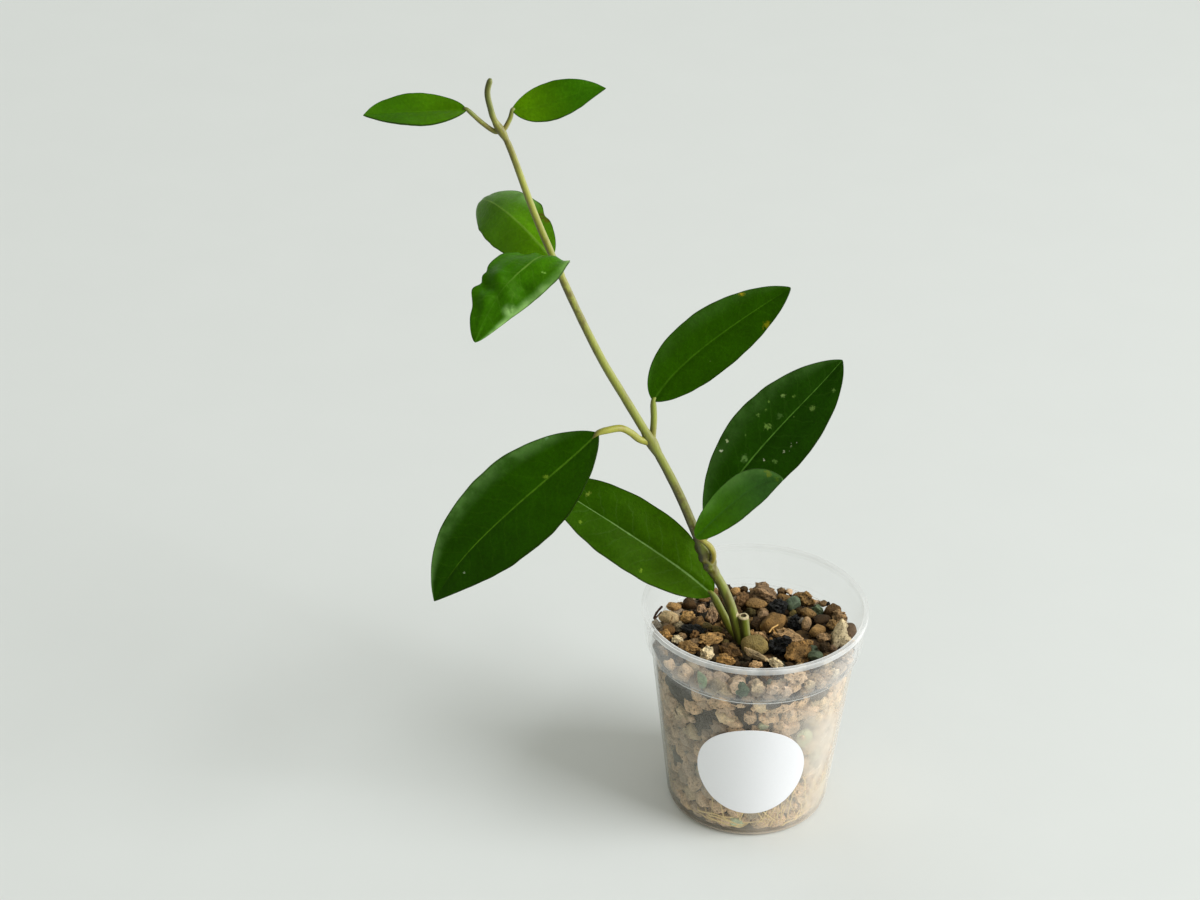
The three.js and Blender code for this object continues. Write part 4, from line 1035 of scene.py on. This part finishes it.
def stoneShape(seed, lumps, lumpSize, cuts, rounding, taper, faces, upright):
    chance = random.Random(seed)
    deselectAll()
    bpy.ops.mesh.primitive_ico_sphere_add(subdivisions=4, radius=1)
    stone = bpy.context.object
    bpy.ops.object.mode_set(mode="EDIT")
    for i in range(cuts):  # the ball is cut flat on a few sides, and then lumped and worn round
        side = Vector([chance.uniform(-1, 1) for axis in range(3)]).normalized()
        bpy.ops.mesh.select_all(action="SELECT")
        bpy.ops.mesh.bisect(plane_co=side * chance.uniform(0.6, 0.85), plane_no=side, use_fill=True,
                            clear_outer=True)
    bpy.ops.object.mode_set(mode="OBJECT")
    useModifier(stone, "REMESH", mode="VOXEL", voxel_size=0.07)
    useModifier(stone, "SMOOTH", factor=0.8, iterations=rounding)
    for size, strength in ((lumpSize, lumps), (lumpSize * 0.4, lumps * 0.3)):
        stone.data.transform(Matrix.Translation((seed * 3.1, seed * 1.7, 0)))  # another part of the clouds
        useClouds(stone, size, strength)
        stone.data.transform(Matrix.Translation((-seed * 3.1, -seed * 1.7, 0)))
    narrows = "Z" if upright else "X"
    useModifier(stone, "SIMPLE_DEFORM", deform_method="TAPER", deform_axis=narrows, factor=-taper)
    useModifier(stone, "DECIMATE", ratio=min(1, faces / len(stone.data.polygons) / 2))
    low = Vector([min(v.co[axis] for v in stone.data.vertices) for axis in range(3)])
    high = Vector([max(v.co[axis] for v in stone.data.vertices) for axis in range(3)])
    grow = [2 / reach for reach in high - low]
    stone.data.transform(Matrix.Diagonal((*grow, 1)) @ Matrix.Translation(-(low + high) / 2))
    stone.hide_render = True
    return stone


def makeShapes():
    seed = 0
    for name, (count, *form) in stoneForms.items():
        shapes[name] = []
        for i in range(count):
            seed += 1
            shapes[name].append(stoneShape(seed, *form, name == "peaked"))


def paintStone(mesh, tint, pitted):
    for key, value in (("stoneColour", tint), ("pitted", (pitted, pitted, pitted, 1))):
        layer = mesh.color_attributes.new(name=key, type="FLOAT_COLOR", domain="POINT")
        layer.data.foreach_set("color", list(value) * len(mesh.vertices))


def pickTint(kind, light, dusty):
    shade = dice.uniform(0.6, 1.3) * light
    own = colour(dice.choice(stoneColours[kind]))
    mixed = [o * (1 - dusty) + d * dusty for o, d in zip(own[:3], colour("e6d2ba"))]
    shade = min(shade, 0.72 / max(mixed))  # no stone is whiter than this
    return (*[part * shade for part in mixed], 1)


def pickKind():
    roll = dice.random()
    return next(kind for kind, upTo in kindsUpTo if roll < upTo)


def addStone(kind, home, form, place, size, turn, tip=0.5, light=1.0, dusty=0.0):
    tumble = (Matrix.Rotation(dice.uniform(-tip, tip), 4, "X")
              @ Matrix.Rotation(dice.uniform(-tip, tip) * 0.8, 4, "Y"))
    tint = pickTint(kind, light, dusty)
    mesh = dice.choice(shapes[form]).data.copy()
    stone = bpy.data.objects.new("stone", mesh)
    bpy.context.collection.objects.link(stone)
    mesh.transform(Matrix.Translation(Vector(place) * mm) @ Matrix.Rotation(turn, 4, "Z") @ tumble
                   @ Matrix.Diagonal((*(Vector(size) * mm / 2), 1)))
    for vertex in mesh.vertices:  # nothing crosses the wall: a stone is pressed flat against it
        height = max(vertex.co.z / mm, gravel["least"])
        limit = (radiusAt(pot["inside"], height) - gravel["wallGap"]) * mm
        reach = math.hypot(vertex.co.x, vertex.co.y)
        if reach > limit:
            vertex.co.x *= limit / reach
            vertex.co.y *= limit / reach
        vertex.co.z = max(vertex.co.z, gravel["least"] * mm)
    paintStone(mesh, tint, howPitted.get(kind, 0.1) * (0.2 if form == "worn" else 1))
    stones[kind if kind in stones else home].append(stone)


def besideWall(angle, z, width, tall, kind, form, sunk=0.42, dim=1.0):
    deep = width * dice.uniform(0.7, 0.95)
    radius = radiusAt(pot["inside"], max(z, gravel["least"])) - deep * sunk
    # painted light and shade: brightened by wallLight, dimmed where dim asks, and paler on the right, where the
    # light falls
    light = gravel["wallLight"] * dim * (0.85 + 0.45 * max(0, math.cos(angle + math.pi / 4)))
    addStone(kind, "wall", form, onCircle(angle, radius, z), (width, deep, tall),
             angle + math.pi / 2, 0.3, light, howDusty.get(kind, gravel["dusty"]))


def layWall():  # the chosen bits, rows of stones, and smaller ones in the gaps between them
    shown = []
    for kind, form, angle, z, width, tall in wallBits:
        angle = math.radians(angle)
        if form == "flake":
            place = onCircle(angle, radiusAt(pot["inside"], z) - 1, z)
            # painted light: these are brightened by wallLight
            addStone(kind, "wall", form, place, (width, 1.1, tall),
                     angle + math.pi / 2, 0.05, gravel["wallLight"])
        else:
            besideWall(angle, z, width, tall, kind, form)
        shown.append((angle, z, (width + tall) / 4))

    def behindShown(angle, z, room):
        for otherAngle, otherHeight, half in shown:
            aside = abs((angle - otherAngle + math.pi) % fullTurn - math.pi) * 34
            if math.hypot(aside, z - otherHeight) < half + room:
                return True
        return False

    for row in range(gravel["rows"]):
        rise = (2 * row + 1) / (2 * gravel["rows"])
        for column in range(gravel["perRow"]):
            angle = fullTurn * (2 * column + row % 2 + dice.uniform(-0.22, 0.22)) / (2 * gravel["perRow"])
            z = gravel["bottom"] + (gravel["edgeTop"] - gravel["bottom"]) * rise
            z -= rise * dropAt(gravel["edge"] * math.sin(angle))
            z += dice.uniform(-0.5, 0.5)
            around = fullTurn * radiusAt(pot["inside"], max(z, gravel["least"]))
            width = around / gravel["perRow"] * dice.uniform(*gravel["wallSize"])
            tall = gravel["rowSize"] * dice.uniform(*gravel["wallSize"])
            kind = pickKind()
            if not behindShown(angle, z, 0):
                besideWall(angle, z, width, tall, kind, "plain")
    for i in range(gravel["small"]):
        angle, z = dice.uniform(0, fullTurn), dice.uniform(2, gravel["smallTop"])
        length = 2 * dice.uniform(*gravel["smallSize"])
        kind = pickKind()
        if not behindShown(angle, z, length * 0.3):
            besideWall(angle, z, length, length * 0.8, kind, "plain", 0.5)


def layTwigs():
    for points, radius, code in twigs:
        path = curvePoints([Vector(p) * mm for p in points], 12)
        twig = tubeAlong(path, [radius * (1 + 0.35 * noise.noise(p * 1500)) for p in path], roundness=2)
        paintStone(twig.data, colour(code), 0.2)
        stones["top"].append(twig)


def layUnder():  # an under layer that fills the gaps between the loose stones, darkened as painted shade in the gaps
    golden = math.pi * (3 - math.sqrt(5))
    for i in range(gravel["under"]):
        radius = 35.6 * math.sqrt((i + 0.5) / gravel["under"])
        angle = i * golden + dice.uniform(-0.1, 0.1)
        length = 2 * dice.uniform(*gravel["underSize"])
        x, y, z = onCircle(angle, radius, gravel["underLevel"])
        z = z - dropAt(y) + dice.uniform(-1, 0.8)
        addStone(pickKind(), "top", "plain", (x, y, z), (length, length * 0.8, length * 0.7),
                 dice.uniform(0, 6), light=gravel["underLight"])


def layTop():  # the chosen stones, then loose ones in the room that is left
    taken = []
    for kind, form, place, size, turn in topStones:
        # painted light and shade: cream stones are brightened, the others darker towards the right
        light = 1.1 if kind == "cream" else 0.93 - place[0] * 0.011
        addStone(kind, "top", form, place, size, math.radians(turn), 0.12, light)
        taken.append((place[0], place[1], (size[0] + size[1]) / 4))
    placed = tries = 0
    while placed < gravel["loose"] and tries < gravel["tries"]:
        tries += 1
        reach, angle = 36.5 * math.sqrt(dice.random()), dice.uniform(0, fullTurn)
        x, y = math.cos(angle) * reach, math.sin(angle) * reach
        half = dice.uniform(*gravel["looseSize"])
        nearStem = math.hypot(x + 5, y - 0.5) <= 3 + half * 0.5
        if reach + half > 37.4 or nearStem:
            continue
        if any(math.hypot(x - a, y - b) < (half + other) * 0.8 for a, b, other in taken):
            continue
        z = gravel["looseLevel"] - dropAt(y) + dice.uniform(-0.9, 0.6) - (gravel["looseSize"][1] - half) * 0.6
        size = (half * 2.1, half * dice.uniform(1.5, 1.9), half * dice.uniform(1.3, 1.7))
        # painted shade: the loose stones are darkened, for their lower places between the others
        addStone(pickKind(), "top", "loose", (x, y, z), size, dice.uniform(0, 6), light=gravel["looseLight"])
        taken.append((x, y, half))
        placed += 1
    print("loose stones placed:", placed)


def layBank():  # round the wall, and higher in front, where it carries the highest bits
    for i in range(gravel["bank"]):
        angle = fullTurn * (i + dice.uniform(0.3, 0.7)) / gravel["bank"]
        z = gravel["bankLevel"] - dropAt(gravel["edge"] * math.sin(angle)) + dice.uniform(-0.4, 0.4)
        for rise, sunk, dim in gravel["bankFront" if math.sin(angle) < -0.5 else "bankBehind"]:
            besideWall(angle + rise * 0.03, z + rise, *gravel["bankSize"], pickKind(), "plain", sunk, dim)


def stoneSkin(name, rough, pitDepth, grainSize, crestHighlight, hollowShade=0.8):
    material, tree, shader = newMaterial(name)
    place = objectPlace(tree)
    tint = addNode(tree, "Attribute", attribute_name="stoneColour")
    pitted = addNode(tree, "Attribute", attribute_name="pitted")
    broad = mottled(tree, tint.outputs["Color"], place, 300.0, 1.7)[0]
    fine, grain = mottled(tree, broad, place, 1 / (grainSize * mm), 1.4)
    # painted highlight on the crests and painted shade in the hollows, by how pointed the surface is
    shape = addNode(tree, "NewGeometry").outputs["Pointiness"]
    pale = blend(tree, 1.0, fine, (1.8, 1.7, 1.55, 1), "MULTIPLY")
    worn = blend(tree, fade(tree, shape, 0.51, 0.6, 0.0, crestHighlight), fine, pale)
    worn = blend(tree, fade(tree, shape, 0.49, 0.42, 0.0, hollowShade), worn, colour("1e150c"))
    pits = useGroup(tree, pores, Place=place, Scale=1 / (1.5 * mm))["Pits"]
    # painted shade: the pores are darkened as holes would be, though they are only bumps
    pit = times(tree, pits, pitted.outputs["Fac"])
    worn = blend(tree, pit, worn, blend(tree, 1.0, worn, (0.25, 0.2, 0.16, 1), "MULTIPLY"))
    height = doMath(tree, "SUBTRACT", grain, times(tree, pit, 1.6))
    setSkin(tree, shader, worn, fade(tree, grain, 0.3, 0.7, rough - 0.12, rough), height, pitDepth)
    shader.inputs["Specular IOR Level"].default_value = 0.3
    return material


def makeGravel():
    makeShapes()
    layWall()
    layTwigs()
    layUnder()
    layTop()
    layBank()
    for home, name, skin, sharp in (
            ("top", "top_stones", stoneSkin("pumice", 0.85, 0.9, 0.5, 0.7), 60),
            ("wall", "wall_stones", stoneSkin("dustyPumice", 0.92, 0.7, 0.5, 0.3, 0.5), 60),
            ("black", "charcoal_bits", stoneSkin("charcoal", 0.5, 0.8, 0.8, 0.5), 30),
            ("green", "green_stones", stoneSkin("greenStone", 0.75, 0.3, 0.7, 0.5), 50)):
        finishPiece(joinPieces(stones[home]), name, "gravel", skin, sharp)
    for group in shapes.values():
        for shape in group:
            bpy.data.objects.remove(shape)


def makeCore():
    heights = (2.2, 6, 14, 26, 38, 50, 58, 62)
    profile = [(radiusAt(pot["inside"], z) - gravel["coreInset"], z) for z in heights]
    profile += [(28, gravel["edgeTop"] - 0.6), (14, gravel["middleTop"]), (3, gravel["middleTop"])]
    piece = turnedShape(profile, 64)
    for vertex in piece.data.vertices:
        vertex.co.z -= dropAt(vertex.co.y / mm) * vertex.co.z / gravel["edgeTop"]
    useModifier(piece, "SUBSURF", levels=1, render_levels=1)
    useClouds(piece, 0.006, 1.2 * mm)
    # painted shade: the grit is near black, for the deep gaps between the stones
    grit = plainSkin("packedGrit", "1e150c", 500.0, 1.2, 0.95, 0.8)
    finishPiece(piece, "packed_grit", "gravel", grit, sharp=60)


makeGravel()
makeCore()
print("gravel made")


# roots: fine straw-coloured strands that press against the wall low in the pot

roots = {"seed": 5, "strands": 70, "radius": (0.16, 0.46), "gap": 0.12, "bends": 6, "steps": 30, "least": 2.1,
         "tint": "f3da9c", "mostly": (-46, 34)}  # the angle where most of them hang, and their spread


def makeRoots():
    chance = random.Random(roots["seed"])
    strands = []
    for i in range(roots["strands"]):
        if i % 2:  # these hang down the wall
            angle = math.radians(chance.gauss(*roots["mostly"]))
            height, sweep = chance.uniform(9, 27), chance.uniform(-0.28, 0.28)
            fall = chance.uniform(-0.92, -0.6)
        else:  # and these lie round the bottom
            angle = chance.uniform(0, fullTurn)
            height, sweep, fall = chance.uniform(2.4, 8), chance.uniform(0.2, 0.8), chance.uniform(-0.6, 0.2)
        thick = chance.uniform(*roots["radius"])
        points = []
        for k in range(roots["bends"] + 1):
            share = k / roots["bends"]
            z = max(height * (1 + fall * share) + chance.uniform(-0.5, 0.5), roots["least"])
            inwards = 2.6 if share in (0, 1) else 0  # both ends go into the bed
            radius = radiusAt(pot["inside"], z) - roots["gap"] - thick - inwards
            points.append(Vector(onCircle(angle + sweep * share, radius, z)) * mm)
        path = curvePoints(points, roots["steps"])
        radii = [thick * (1 - 0.5 * k / roots["steps"]) for k in range(len(path))]
        strands.append(tubeAlong(path, radii, roundness=1))
    skin = plainSkin("dryRoot", roots["tint"], 700.0, 0.7, 0.8, 0.12)
    finishPiece(joinPieces(strands), "root_threads", "roots", skin, sharp=80)


makeRoots()
print("roots made")


# stage: a plain pale floor under soft light from the right

stage = {"floor": "dadedc", "floorSize": 8, "world": (1.0, 1.0, 0.91, 1), "worldLight": 0.48}

lights = [
    {"name": "window", "place": (2.2, -0.78, 1.85), "aim": (0, 0, 0.1), "size": 1.9, "power": 84,
     "tint": (0.98, 0.985, 1)},
    {"name": "backFill", "place": (-0.9, 1.5, 1.3), "aim": (-0.05, 0, 0.12), "size": 1.6, "power": 6,
     "tint": (0.93, 0.97, 1)},
]


def makeStage():
    deselectAll()
    bpy.ops.mesh.primitive_plane_add(size=stage["floorSize"], location=(0, 0, -0.0002))
    floor = bpy.context.object
    floor.name = "floor"
    bpy.ops.object.transform_apply(location=True, scale=True)
    floor.data.materials.append(plainSkin("paleFloor", stage["floor"], 25.0, 0.03, 0.7))
    world = bpy.data.worlds.new("softRoom")
    world.use_nodes = True
    sky = world.node_tree.nodes["Background"]
    sky.inputs["Color"].default_value = stage["world"]
    sky.inputs["Strength"].default_value = stage["worldLight"]
    bpy.context.scene.world = world
    for light in lights:
        data = bpy.data.lights.new(light["name"], "AREA")
        data.shape = "SQUARE"
        data.size = light["size"]
        data.energy = light["power"]
        data.color = light["tint"]
        lamp = bpy.data.objects.new(light["name"], data)
        lamp.location = light["place"]
        aim = Vector(light["aim"]) - Vector(light["place"])
        lamp.rotation_euler = aim.to_track_quat("-Z", "Y").to_euler()
        bpy.context.collection.objects.link(lamp)
    bpy.context.scene.view_settings.view_transform = "Standard"


makeStage()
print("stage made")
